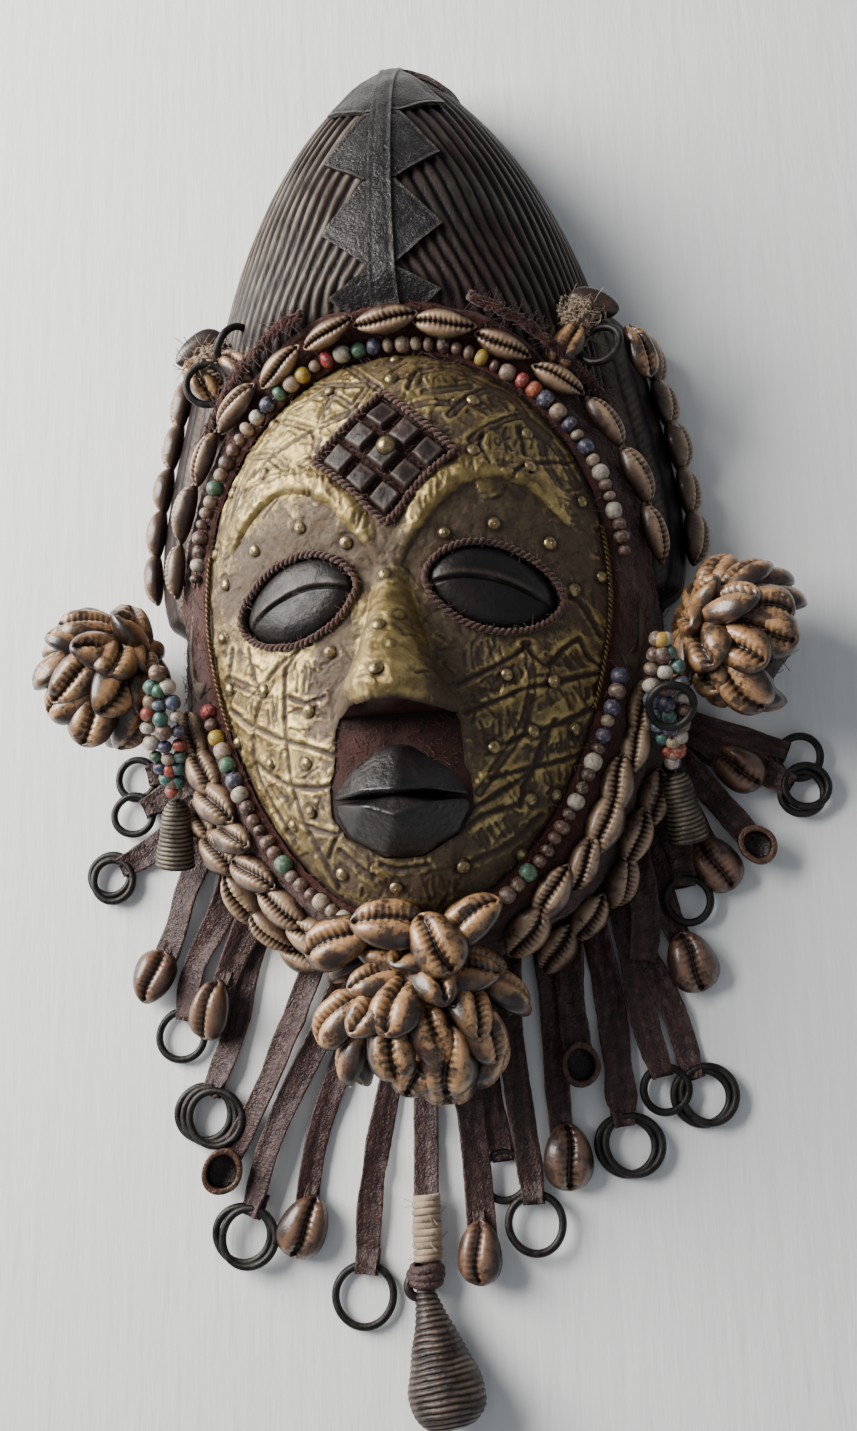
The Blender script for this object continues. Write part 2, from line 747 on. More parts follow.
def waxedWoodLook(name, low, high, brown, gloss, specular):
    # near-black carving, waxed until it shines softly
    look = newMaterial(name, specular=specular)
    patches = cloud(look, 13, detail=5, roughness=0.6)
    dark = mixed(look, patches, low, high)
    dark = mixed(look, fromTo(look, cloud(look, 26), 0.5, 0.75), dark, brown)
    deep = shaded(look, dark, (6, 5, 5))
    wear = times(look, marked(look, "rub"), cloud(look, 3, detail=6))
    pale = mixed(look, wear, deep, (112, 96, 86))
    shine = fromTo(look, cloud(look, 5, detail=6), 0.3, 0.7, gloss, gloss + 0.2)
    fine = bumped(look, cloud(look, 2.2, detail=5), 0.4)
    return drive(look, colour=pale, roughness=shine, normal=fine)


def feltLook(name, dark, light, red=1.0):
    look = newMaterial(name, roughness=0.95, specular=0.12, sheen=0.35, sheenRoughness=0.5)
    fuzz = cloud(look, 1.3, detail=6, roughness=0.7)
    patches = cloud(look, 11, detail=3)
    colour = mixed(look, fuzz, dark, light)
    colour = mixed(look, fromTo(look, patches, 0.35, 0.7, 0, 0.6), colour, (38 * red, 19, 18))
    colour = mixed(look, times(look, marked(look, "tint"), 0.5), colour, light)
    deep = shaded(look, colour, (16, 9, 9))
    fine = bumped(look, fuzz, 0.7)
    return drive(look, colour=deep, normal=fine)


woodLook = carvedWoodLook()
waxLook = waxedWoodLook("waxed black wood", (12, 10, 10), (30, 26, 25), (38, 28, 25), 0.35, 0.35)
lipLook = waxedWoodLook("blue-black lip wax", (7, 8, 9), (20, 21, 24), (20, 18, 18), 0.24, 0.45)
scaleLook = waxedWoodLook("dark brown blocks", (14, 9, 9), (40, 27, 25), (52, 30, 26), 0.36, 0.35)
oxbloodLook = waxedWoodLook("oxblood stain", (34, 14, 12), (62, 28, 22), (50, 20, 17), 0.4, 0.3)
feltLookRed = feltLook("red-brown felt", (46, 24, 21), (96, 54, 43))
cordLook = feltLook("dark twisted cord", (48, 24, 20), (112, 78, 64))

# The lobe: two skins of ribs that follow its silhouette and run out at the crest.

lobeMesh = {
    "rows": 106, "across": 190, "rib": 4.7, "drift": 22.0, "dip": 1.5, "fadeLow": 1.18, "fadeHigh": 1.3,
    "crestFade": 9.0,
}


def addLobe(shape):
    share = np.linspace(0, 1, lobeMesh["rows"]) ** 0.92
    ys = lobeSet["footY"] + (lobePeak - 0.4 - lobeSet["footY"]) * share
    rows, shades, rubs = [], [], []
    for y in ys:
        x = float(lobeHalfWidth(y)) * np.cos(np.pi / 2 * np.arange(401) / 400)
        z = lobeZ(x, np.full(401, y))
        lengths = np.concatenate([[0], np.cumsum(np.hypot(np.diff(x), np.diff(z)))])
        marks = np.linspace(0, 1, lobeMesh["across"]) * lengths[-1]
        px, pz = np.interp(marks, lengths, x), np.interp(marks, lengths, z)
        # toward the crest the ribs lean in more than the silhouette does
        drift = lobeMesh["drift"] * smooth(84, 155, y) * smooth(264, 180, y) * marks / lengths[-1]
        wave = marks - drift + 0.35 * np.sin(y / 17 + marks / 9) + 0.2 * np.sin(y / 6.1 + marks)
        crown = np.abs(np.sin(np.pi * wave / lobeMesh["rib"])) ** 0.95
        shown = smooth(lobeMesh["fadeLow"], lobeMesh["fadeHigh"], eggMeasure(faceEgg, px, y))
        shown = shown * smooth(0, 3, marks) * smooth(2, lobeMesh["crestFade"], lengths[-1] - marks)
        out = unit(xyz(np.gradient(pz), 0, -np.gradient(px)))
        dip = lobeMesh["dip"] * (1 - crown) * shown
        rows.append(xyz(px, y, pz) - out * dip[:, None])
        shades.append((1 - crown) ** 0.7 * shown * 0.97)
        rubs.append(crown ** 4 * shown)
    half = np.stack(rows)
    half[:, 1:, 2] += (ripple(half, 9) * 0.3)[:, 1:]
    for side in (1, -1):
        shape.add(half * (side, 1, 1), [flipped(gridFaces(*half.shape[:2]), side > 0)], shade=shades,
                  rub=np.array(rubs) * (0.85 if side < 0 else 0.26))


# The wall of the dome between the felt band and the floor, and the two side lobes.

wingMesh = {"rows": 120, "across": 70, "depth": 1.3}


def addWall(shape):
    angles = np.linspace(0, 2 * np.pi, 181)[:-1]
    inner, outer = eggPoint(faceEgg, angles), eggPoint(rimEgg, angles)
    rings = []
    for fall in np.linspace(-0.03, 1, 40):
        x, y = (inner + (outer - inner) * fall).T
        z = underSkin(x, y) if fall < 0.97 else domeZ(x, y)
        rings.append(xyz(x, y, np.maximum(0, z) if fall < 1 else 0))
    rings = np.stack(rings)
    rings[1:-1, :, 2] += (ripple(rings, 7) * 0.3)[1:-1]
    faces = gridFaces(*rings.shape[:2], wrap=True)[:, ::-1]
    hidden = (lobeSkin(rings[..., 0], rings[..., 1]) > rings[..., 2] + 2).ravel()
    shape.add(rings, [faces[~hidden[faces].all(axis=1)]], rub=0.2)


def addWing(shape, side):
    ys = np.linspace(wingSet["outline"][0][0], wingSet["outline"][-1][0], wingMesh["rows"])
    edge = hermite(wingSet["outline"], ys)
    insets = np.concatenate([np.linspace(0, 6.2, 12), np.linspace(6.6, 46, wingMesh["across"] - 12)])
    x = np.maximum(edge[:, None] - insets[None], wingSet["innerX"] - 6)
    y = np.broadcast_to(ys[:, None], x.shape)
    inset = edge[:, None] - x
    inside = inset - wingSet["border"]
    wave = (inside / wingSet["ribs"]) % 1
    row = np.floor(inside / wingSet["ribs"])
    crown = np.abs(np.sin(np.pi * wave)) ** 0.5
    slant = np.abs(np.sin(np.pi * (y + (wave - 0.5) * 7 * np.where(row % 2 == 0, 1, -1)) / 3.2)) ** 0.5
    carved = smooth(0.2, 1.2, inside) * smooth(9, 15, y) * smooth(136, 124, y)
    border = bell(inset - wingSet["border"], 0.8)
    groove = (1 - crown) * 0.9 + (1 - slant) * 0.45 * crown
    dip = wingMesh["depth"] * (np.clip(groove, 0, 1) * carved + border * 0.6)
    z = wingZ(x - 1e-4, y) - dip - 1.6 * (1 - smooth(0, 1.6, inset)) + 0.12 * np.sin(0.9 * y + 0.5 * x)
    points = xyz(side * x, y, z)
    faces = gridFaces(*x.shape)
    hidden = (np.maximum(underSkin(side * x, y), lobeSkin(side * x, y)) > z + 2).ravel()
    faces = faces[~hidden[faces].all(axis=1)]
    shade = np.clip(groove * carved + border * 0.7, 0, 1)
    rub = crown * slant * carved * (0.8 if side < 0 else 0.3)
    shape.add(points, [flipped(faces, side > 0)], shade=shade, rub=rub)
    # the outer edge and both ends, down to the floor
    border = np.concatenate([points[0, ::-1], points[:, 0], points[-1]])
    down = np.stack([border, border * (1, 1, 0.55), border * (1, 1, 0)])
    down[1, :, 0] += side * 0.8
    shape.add(down, [flipped(gridFaces(3, len(border)), side < 0)], rub=0.3)


def makeHead():
    lobe = Shape()
    addLobe(lobe)
    makePiece("lobe", lobe, woodLook, ["carved_mask"])
    flanks = Shape()
    addWall(flanks)
    for side in (-1, 1):
        addWing(flanks, side)
    makePiece("wall_and_side_lobes", flanks, woodLook, ["carved_mask"], sharp=60)


makeHead()
print("lobe, wall and side lobes made")

# The carved face that the sheet leaves bare: eyes, lips, the diamond of scales, and the felt under the nose.

eyeSet = {
    "x": 35.5, "halfWidth": 21.5, "halfHeight": 14.5, "rise": 7.5, "tilt": 0.12, "lid": 1.3, "slit": 4.2,
    "slitFall": 9.5, "foot": 6,
}
lipSet = {
    "upper": [
        [25.4, 0.4, -4], [25.4, 7, -6], [21, 12.5, -4], [11, 17.2, 0], [0, 19.4, 4], [12, 1.5, 10.5],
        [0, 0.4, 14],
    ],
    "lower": [
        [25.2, -0.4, -5], [25, -5, -6], [19.5, -13, -4.5], [7, -20, -3], [0, -8, 13.5], [11, -4, 11],
        [0, -0.4, 9.5],
    ],
    "upperEdge": [[25.4, 0], [25.4, 7], [21, 12.5], [11, 17.2], [4.4, 19.2], [0, 18.4]],
    "lowerEdge": [[0, -20.6], [7, -20], [19.5, -13], [25, -5], [25.2, 0.4]],
    "round": 0.45,
    "step": 0.55,
}
lozengeSet = {
    "y": 50.0, "halfWidth": 24.2, "halfHeight": 23.6, "rise": 4.0, "cells": 3, "gap": 0.5, "lean": 2.2,
    "button": 3.2, "fibres": 520,
}


def eyeOutline(side, grow, count=72):
    angle = circle(count)
    u = np.cos(angle) * (eyeSet["halfWidth"] + grow * 1.15)
    v = np.sin(angle) * np.abs(np.sin(angle)) ** 0.25 * (eyeSet["halfHeight"] + grow)
    return np.stack([side * (eyeSet["x"] + u), eyeY + 1 + v - eyeSet["tilt"] * u], axis=-1)


def addCap(shape, points, centre, side, shade, rub):
    # a lump of rings from its middle out, with a point in the middle; the faces are turned for the left side
    rows, around = points.shape[:2]
    faces = gridFaces(rows, around, wrap=True)[:, ::-1]
    fan = fanFaces(np.arange(around), rows * around)
    points = np.concatenate([points.reshape(-1, 3), [centre]])
    shape.add(points, [flipped(faces, side < 0), flipped(fan, side < 0)], shade=shade, rub=rub)


def addEye(shape, side):
    rings, around = 40, 120
    share = np.sin(np.linspace(0.02, 1, rings) * np.pi / 2)
    middle = np.array([side * eyeSet["x"], eyeY + 1])
    edge = eyeOutline(side, 0.6, around) - middle
    x, y = np.moveaxis(middle + edge[None] * share[:, None, None], -1, 0)
    u = side * x - eyeSet["x"]
    bean = np.maximum(0, 1 - share ** 2.7)[:, None] ** 0.62 + 0 * x
    z = underSkin(x, y) - 0.6 + eyeSet["rise"] * bean
    slit = eyeY + eyeSet["slit"] - eyeSet["slitFall"] * (np.maximum(0, u + 8) / 28) ** 2
    slit = slit - 1.5 * smooth(-8, -21, u) - y
    slitEnds = smooth(1.02, 0.9, np.abs(u) / eyeSet["halfWidth"])
    lid = eyeSet["lid"] * smooth(0.3, -0.4, slit) * bell(slit, 7) - 1.2 * bell(slit - 0.35, 0.5)
    z = z + slitEnds * lid
    points = xyz(x, y, z + 0.3 * ripple(xyz(x, y, z), 6))
    points[..., 2] += ripple(points, 5) * 0.12
    points = np.concatenate([points, points[-1:] - (0, 0, eyeSet["foot"])])
    centre = np.append(middle, points[0, :, 2].mean())
    shade = np.append(slitEnds * bell(slit - 0.4, 0.6), [1] * around + [0])
    rub = np.append(slitEnds * bell(slit + 1.2, 0.9) * 0.5, [0] * (around + 1))
    addCap(shape, points, centre, side, shade, rub)


def capPlanes(corners):
    # planes over the upper side of the hull of a few corners, mirrored
    points = np.array(corners, dtype=float)
    points = np.unique(np.concatenate([points, points * (-1, 1, 1)]), axis=0)
    planes = []
    for i in range(len(points)):
        for j in range(i + 1, len(points)):
            for k in range(j + 1, len(points)):
                normal = np.cross(points[j] - points[i], points[k] - points[i])
                if abs(normal[2]) < 1e-3 * np.linalg.norm(normal) or np.linalg.norm(normal) < 1e-6:
                    continue
                slopes = -normal[:2] / normal[2]
                base = points[i][2] - slopes @ points[i][:2]
                if np.all(points[:, 2] <= points[:, :2] @ slopes + base + 1e-6):
                    planes.append((slopes[0], slopes[1], base))
    return np.unique(np.round(planes, 5), axis=0)


def addLip(shape, corners, outline):
    planes = capPlanes(corners)
    base = float(domeZ(np.array(0.0), np.array(mouthY))) - 2
    polygon = np.array(outline) + (0, mouthY)
    x, y, faces = cutGrid(polygon, lipSet["step"])
    heights = np.stack([a * x + b * (y - mouthY) + c for a, b, c in planes])
    lowest, second = np.sort(heights, axis=0)[:2]
    soft = lipSet["round"]
    z = base - soft * np.log(np.exp(-(heights - lowest) / soft).sum(axis=0)) + lowest
    reach = polygonReach(x, y, polygon)
    z = z - 1.2 * (1 - smooth(0, 1.6, reach)) + 0.15 * ripple(xyz(x, y, z), 4)
    points = xyz(x, y, z)
    shape.add(points, [faces], rub=bell(second - lowest, 1.4) * 0.12,
              shade=0.9 * (1 - smooth(0, 1.1, reach)))
    addSkirt(shape, points, faces, upward(points), 12, shade=0.6)


def diamond(grow):
    # the corners of the diamond on the forehead, grown by so many mm
    corners = np.array([[0, 1], [1, 0], [0, -1], [-1, 0]])
    return corners * (lozengeSet["halfWidth"] + grow, lozengeSet["halfHeight"] + grow) + (0, lozengeSet["y"])


def addScales(shape, felt):
    # nine blocks like shingles, each higher at its lower right, with felt in the gaps between them
    n = lozengeSet["cells"]
    width, height, middle = lozengeSet["halfWidth"], lozengeSet["halfHeight"], lozengeSet["y"]
    x, y, faces = cutGrid(diamond(1), 0.5, [-27, 27, middle - 27, middle + 27])
    a = (x / width + (y - middle) / height) * n / 2 + n / 2
    b = (x / width - (y - middle) / height) * n / 2 + n / 2
    cellA, cellB = np.clip(np.floor(a), 0, n - 1), np.clip(np.floor(b), 0, n - 1)
    fromEdge = np.minimum(np.minimum(a - cellA, cellA + 1 - a), np.minimum(b - cellB, cellB + 1 - b)) * 11.6
    gap = lozengeSet["gap"] + 0.2 * ripple(xyz(x, y, 0), 3)
    block = smooth(0, 1.5, fromEdge - gap)
    lean = lozengeSet["lean"] * (b - cellB - 0.5)
    lean = lean + 1.8 * np.sin(cellA * 2.3 + cellB * 4.1) * (a - cellA - 0.5)
    points = xyz(x, y, underSkin(x, y) - 0.4 + block * (lozengeSet["rise"] + lean))
    points[:, 2] += (0.2 * ripple(points, 2.4) + 0.35 * ripple(points, 5)) * block
    tint = (np.sin(cellA * 5.1 + cellB * 3.7) + 1) / 2
    shape.add(points, [faces], shade=0.9 * (1 - smooth(0, 0.9, fromEdge - gap)),
              rub=bell(fromEdge - gap - 1.5, 0.8) * 0.7, tint=tint)
    low = xyz(x, y, underSkin(x, y) + 0.7 + 0.35 * ripple(points, 1.7))
    felt.add(low, [faces], shade=0.3)
    roots = low[fromEdge < 1.5]
    addFibres(felt, roots, upward(roots), lozengeSet["fibres"], 2.4, 0.13)


def mouthOutline():
    half = [[0, noseBaseY - 0.4], [20.4, noseBaseY - 0.4], [22.2, noseBaseY - 5], [23.2, mouthY + 10.5],
            [25, mouthY + 7]] + [[x, y + mouthY] for x, y in lipSet["lowerEdge"][::-1]]
    return np.array(half + [[-x, y] for x, y in half[1:-1][::-1]])


def addLipFelt(shape):
    x, y, faces = cutGrid(mouthOutline() * (1.03, 1), 0.8, [-32, 32, mouthY - 26, noseBaseY + 2])
    z = underSkin(x, y) + 0.3 - 1.4 * bell(x, 4.5) * smooth(mouthY + 10, noseBaseY - 3, y)
    points = xyz(x, y, z)
    points[:, 2] += ripple(points, 3) * 0.25
    above = smooth(mouthY + 2, mouthY + 9, y)
    shape.add(points, [faces], shade=0.35 + 0.5 * smooth(9, 0.5, noseBaseY - y) + 0.3 * (1 - above))
    roots = points[(y > mouthY + 9) & (y < noseBaseY - 3)]
    addFibres(shape, roots, upward(roots), 260, 2.2, 0.11)


def addNoseUnderside(shape):
    # a small wall from the lip to the tip, with two shallow nostrils
    across, tall = np.linspace(-19.5, 19.5, 60), np.linspace(0, 1, 26)[:, None]
    low = underSkin(across, np.full(60, noseBaseY - 1.5)) - 1
    high = faceSkin(across, np.full(60, noseBaseY + 1.0))
    z = low + (high - low) * tall
    hole = bell(np.abs(across) - 8.5, 4.4) * bell(z - 92, 5.5)
    y = noseBaseY - 0.3 - 1.2 * np.sin(np.pi * tall) * (1 - (across / 20) ** 2) + 3.4 * hole
    shape.add(xyz(across, y, z), [gridFaces(*z.shape)], shade=np.clip(hole * 0.8, 0, 1))


def makeFaceFeatures():
    eyes, lips, scales, felt, bare, under = [Shape() for _ in range(6)]
    for side in sides.values():
        addEye(eyes, side)
    for name in ("upper", "lower"):
        edge = lipSet[name + "Edge"]
        addLip(lips, lipSet[name], edge + [[-x, y] for x, y in edge[::-1] if x > 0])
    addScales(scales, felt)
    addLipFelt(bare)
    addNoseUnderside(under)
    makePiece("closed_eyes", eyes, waxLook, ["carved_mask"])
    makePiece("lips", lips, lipLook, ["carved_mask"])
    makePiece("forehead_scales", scales, scaleLook, ["carved_mask"])
    makePiece("felt_between_scales", felt, feltLookRed, ["carved_mask"])
    makePiece("felt_under_the_nose", bare, feltLookRed, ["carved_mask"])
    makePiece("nose_underside", under, oxbloodLook, ["carved_mask"])


makeFaceFeatures()
print("face features carved")

# Ears, the hollow back and the flat rim.

earSet = {
    "x": 83.0, "y": -3.0, "halfWidth": 6.5, "halfLength": 22.0, "slope": 0.9, "holes": (8, -10),
    "holeRadius": 2.6, "holeDepth": 6, "lip": 5.6, "bowl": 3.4, "rim": 5, "foot": 9,
}
hollowSet = {
    "chisel": 5.2,
    "depth": 0.6,
    # Y, half the width there, and the height
    "rows": [
        [-117, 8, 6], [-112, 34, 30], [-95, 60, 46], [-60, 77, 56], [-10, 84, 62], [45, 82, 62],
        [90, 76, 50], [112, 74, 46], [150, 66, 56], [185, 51, 52], [212, 34, 38], [228, 18, 20], [233, 5, 6],
    ],
}


def addEar(shape, side):
    rings, around = 22, 48
    share = np.linspace(0.03, 1, rings)[:, None]
    x = earSet["x"] + np.cos(circle(around)) * share * earSet["halfWidth"]
    y = earSet["y"] + np.sin(circle(around)) * share * earSet["halfLength"]
    floor = float(domeZ(np.array(earSet["x"]), np.array(earSet["y"])))
    lip = earSet["lip"] - earSet["bowl"] * smooth(0.75, 0.3, share) - earSet["rim"] * smooth(0.86, 1, share)
    z = floor + (earSet["x"] - 3 - x) * earSet["slope"] + lip
    shade = np.zeros_like(z)
    for at in earSet["holes"]:
        dent = np.exp(-((x - earSet["x"]) ** 2 + (y - earSet["y"] - at) ** 2) / earSet["holeRadius"] ** 2)
        z = z - earSet["holeDepth"] * dent
        shade = np.maximum(shade, dent)
    points = xyz(side * x, y, z)
    points = np.concatenate([points, points[-1:] - (0, 0, earSet["foot"])])
    addCap(shape, points, points[0].mean(axis=0), side, np.append(shade, [0] * (around + 1)), 0.5)


def outsideReach(x, y):
    lobe = np.where(y > lobeSet["footY"], lobeHalfWidth(y) - np.abs(x), -50)
    lobe = np.where(y > 225, np.minimum(lobe, (lobePeak - y) * 1.6), lobe)
    wing = np.where((y > 9) & (y < 136), hermite(wingSet["outline"], y) - np.abs(x), -50)
    return np.maximum(np.maximum(eggReach(rimEgg, x, y), lobe), wing)


def addHollow(shape):
    # the hollow for the wearer's face, cut with an adze
    rows, around = 110, 40
    table = np.array(hollowSet["rows"])
    ys = np.linspace(table[0, 0], table[-1, 0], rows)
    angle = np.linspace(0, np.pi, around)
    half = np.interp(ys, table[:, 0], table[:, 1])
    height = np.interp(ys, table[:, 0], table[:, 2])
    height = np.convolve(np.pad(height, 4, mode="edge"), np.ones(9) / 9, mode="valid")
    arch = xyz(half[:, None] * np.cos(angle), ys[:, None], height[:, None] * np.sin(angle) ** 0.8)
    x, y, z = np.moveaxis(arch, -1, 0)
    chisel = np.abs(np.sin(y / hollowSet["chisel"] + np.sin(x / 9))) * hollowSet["depth"] * smooth(0, 8, z)
    shape.add(xyz(x, y, z - chisel), [gridFaces(rows, around)], shade=0.25, rub=0.35)


def makeBack():
    back, ears = Shape(), Shape()
    right = [[half, y] for y, half, _ in hollowSet["rows"]]
    inner = [[-x, y] for x, y in right] + right[::-1]

    def rimReach(x, y):
        return np.minimum(outsideReach(x, y), -polygonReach(x, y, inner))
    x, y, faces = clippedGrid([-110, 110, -132, 251], 2.0, rimReach)
    back.add(xyz(x, y, 0.02), [faces[:, ::-1]], rub=0.25)
    addHollow(back)
    makePiece("hollow_back", back, woodLook, ["carved_mask"])
    for side in sides.values():
        addEar(ears, side)
    makePiece("ears", ears, woodLook, ["carved_mask"])


makeBack()
print("back and ears made")

# The brass sheet: one thin skin over the face, with its chased lines, hatching and punched rings.

brassSet = {
    "over": 1.35, "step": 0.575, "thickness": 1.0, "cut": 0.8, "fine": 0.42, "facet": 8.5, "tilt": 0.075,
    "dent": 2.9, "strokes": 330, "bandHalf": 1.15, "cutWidth": 0.68, "fineWidth": 0.45,
}
# the lines of the pattern, in millimetres: bands are broad shallow troughs, cuts are single deep lines
bandLines = [
    [(-17, 96), (-8, 84), (-2, 78)], [(-32, 90), (-18, 83), (-6, 80)], [(-24, 82), (-16, 75), (-10, 69)],
    [(-6, 79), (-8, 75), (-11, 70)], [(-52, 63), (-40, 77), (-30, 80), (-22, 82)],
    [(-42, 76), (-33, 69), (-26, 64), (-24, 59)], [(-26, 64), (-17, 67), (-10, 69)],
    [(-19, 78), (-22, 72), (-24, 64), (-25, 56)], [(-55, 65), (-46, 60), (-41, 55), (-35, 49)],
    [(-35, 49), (-31, 50), (-27, 52)], [(-63, 42), (-57, 58), (-47, 68)], [(-30, 48), (-40, 49), (-56, 48)],
    [(15, 75), (21, 76), (30, 79)], [(10, 82), (17, 86), (25, 87), (32, 83), (42, 77)],
    [(24, 65), (30, 73), (37, 79), (42, 79), (46, 75), (49, 70)],
    [(31, 55), (37, 61), (43, 66), (49, 69), (57, 63)], [(35, 46), (42, 46), (50, 45)],
    [(49, 69), (60, 57), (66, 44)], [(12, 69), (20, 70), (27, 69)], [(54, 61), (56, 50), (60, 42)],
    [(-67, -20), (-60, -24), (-51, -29)], [(46, -18), (47, -28), (46, -38), (42, -49), (34, -61), (27, -71)],
]
cutLines = [
    [(-55, 53), (-45, 59), (-36, 61), (-27, 64)], [(9, 77), (12, 86), (17, 88)],
    [(47, 64), (48, 58), (49, 52)], [(35, 58), (34, 53), (37, 46)], [(45, 43), (49, 47), (56, 51), (63, 53)],
    [(-36, -16), (-41, -23), (-42, -35), (-42, -47), (-41, -62), (-37, -76), (-30, -91), (-26, -100)],
    [(-41, -18), (-49, -24)], [(-51, -29), (-55, -36), (-57, -45), (-57, -55), (-50, -69), (-42, -83)],
    [(-67, -31), (-57, -39), (-43, -47), (-33, -51), (-22, -56)],
    [(-57, -52), (-50, -58), (-42, -63), (-32, -66), (-24, -66)], [(-37, -77), (-32, -80), (-23, -83)],
    [(-57, -11), (-55, -22), (-52, -29)], [(-28, -90), (-24, -84), (-20, -81)], [(-65, -9), (-67, -20)],
    [(-40, -32), (-34, -35), (-26, -34)], [(-23, -88), (-18, -93), (-11, -98)],
    [(-8, -94), (-2, -96), (8, -95)], [(22, -33), (34, -27), (42, -22), (47, -18)],
    [(24, -43), (36, -38), (44, -34), (51, -32)], [(51, -32), (60, -29), (74, -24)],
    [(57, -44), (66, -39), (73, -32)], [(36, -54), (46, -49), (58, -44), (67, -38)],
    [(31, -66), (46, -61), (55, -58), (64, -54)], [(24, -77), (36, -69), (45, -63)],
    [(20, -84), (29, -78), (40, -74)], [(17, -97), (26, -92), (36, -87), (47, -77)],
    [(46, -61), (49, -53), (54, -44)], [(40, -75), (42, -68), (46, -61)],
    [(45, -18), (52, -25), (58, -19), (64, -14)], [(64, -14), (67, -20), (73, -24)],
    [(60, 2), (66, -2), (72, -12)],
]
# rows of strokes: the two sides that the strokes run between, and how many
hatchRows = [
    [(-45, 57), (-37, 58), (-43, 50), (-34, 52), 4], [(-58, 57), (-52, 50), (-63, 47), (-58, 42), 5],
    [(-14, 92), (-8, 87), (-20, 87), (-13, 82), 4], [(-36, 88), (-28, 90), (-36, 82), (-27, 84), 5],
    [(28, 69), (39, 78), (34, 62), (45, 72), 7], [(36, 60), (48, 67), (37, 48), (47, 52), 7],
    [(15, 81), (26, 83), (16, 77), (28, 80), 6], [(51, 64), (58, 60), (52, 54), (61, 47), 5],
    [(64, 38), (70, 26), (60, 36), (66, 24), 7], [(-70, 16), (-66, 34), (-67, 15), (-62, 33), 8],
    [(-60, -25), (-54, -31), (-58, -38), (-56, -42), 5], [(-51, -32), (-44, -29), (-52, -41), (-44, -44), 5],
    [(-39, -20), (-29, -18), (-40, -30), (-27, -32), 6], [(-55, -57), (-45, -63), (-49, -67), (-39, -75), 7],
    [(-20, -91), (-9, -98), (-16, -98), (-3, -106), 6], [(-65, -33), (-59, -40), (-60, -36), (-56, -42), 4],
    [(24, -19), (37, -15), (25, -30), (38, -24), 8], [(25, -34), (44, -24), (28, -41), (45, -32), 10],
    [(28, -45), (45, -37), (30, -58), (43, -50), 9], [(49, -21), (64, -17), (53, -29), (71, -24), 10],
    [(55, -32), (72, -27), (60, -42), (71, -34), 11], [(48, -51), (62, -44), (48, -60), (62, -55), 10],
    [(34, -68), (58, -58), (38, -76), (57, -66), 13], [(22, -85), (38, -77), (26, -92), (40, -83), 9],
    [(4, -98), (20, -98), (5, -106), (18, -104), 8], [(60, 12), (69, 8), (64, -2), (71, -6), 6],
]


def brassLook():
    # yellow where it stands proud, brown-grey patina in what lies low
    look = newMaterial("chased brass sheet", specular=0.5)
    low, dull, bright = marked(look, "shade"), marked(look, "tint"), marked(look, "rub")
    broad = cloud(look, 22, detail=6, roughness=0.66)
    small = cloud(look, 3.4, detail=8, roughness=0.72, twist=1.0)
    gold = mixed(look, fromTo(look, cloud(look, 7, detail=6), 0.35, 0.65), (202, 179, 118),
                 (138, 116, 73))
    patina = mixed(look, cloud(look, 5, detail=7), (106, 88, 64), (56, 44, 34))
    cover = sums(look, "ADD", times(look, broad, 0.5), times(look, small, 0.7))
    cover = sums(look, "ADD", cover, times(look, dull, 0.42))
    cover = sums(look, "SUBTRACT", cover, times(look, bright, 0.26))
    share = fromTo(look, cover, 0.46, 0.74, 0.05, 1)
    colour = mixed(look, share, gold, patina)
    dirt = times(look, low, fromTo(look, small, 0.25, 0.6, 0.6, 1.0))
    colour = mixed(look, dirt, colour, (50, 36, 28))
    spots = fromTo(look, cells(look, 2.2, feature="F1"), 0.12, 0.34, 0.5, 0)
    colour = mixed(look, times(look, spots, share), colour, (50, 36, 29))
    worst = sums(look, "MAXIMUM", share, dirt)
    first = bumped(look, small, 0.5)
    second = bumped(look, cells(look, 4.2, feature="SMOOTH_F1"), 0.7, under=first)
    return drive(look, colour=colour, roughness=fromTo(look, worst, 0, 1, 0.28, 0.6),
                 metallic=fromTo(look, worst, 0, 1, 0.9, 0.2), normal=second)


def bow(points, count=26):
    # a smooth line through a few places of the sheet
    return smoothTable(np.arange(len(points)), points, np.linspace(0, len(points) - 1, count))


def hatchLines():
    # short strokes side by side in the panels, loose ones between them, and the dashes along both brows
    strokes = []
    for *corners, count in hatchRows:
        a0, a1, b0, b1 = np.array(corners)
        for k in range(count):
            t = (k + 0.5 + seeds.uniform(-0.4, 0.4)) / count
            start = a0 + (a1 - a0) * t
            end = b0 + (b1 - b0) * t + seeds.normal(0, 0.9, 2)
            low, high = seeds.uniform(0.0, 0.45), seeds.uniform(0.6, 1.0)
            bend = np.array([start[1] - end[1], end[0] - start[0]]) * seeds.normal(0, 0.07)
            strokes.append([start + (end - start) * low, (start + end) / 2 + bend,
                            start + (end - start) * high])
    for _ in range(brassSet["strokes"]):
        at = seeds.uniform((-74, -112), (74, 98))
        if abs(abs(at[0]) - eyeSet["x"]) < 34 and abs(at[1] - eyeY - 10) < 24:
            continue
        way = seeds.uniform(-1, 1, 2) * 3.4
        strokes.append([at - way, at + seeds.normal(0, 0.5, 2), at + way * seeds.uniform(0.2, 1)])
    for side in sides.values():
        for t in np.sort(seeds.uniform(0.04, 0.94, 30)):
            y = browLine(t) + seeds.normal(0, 0.5)
            x = side * (browSet["outerX"] - t * (browSet["outerX"] - browSet["innerX"]))
            lean = side * (1.6 - 2.6 * t) + seeds.normal(0, 0.8)
            strokes.append([(x, y - 0.4), (x - lean, y + 1.6 + 3.0 * seeds.random())])
    return strokes


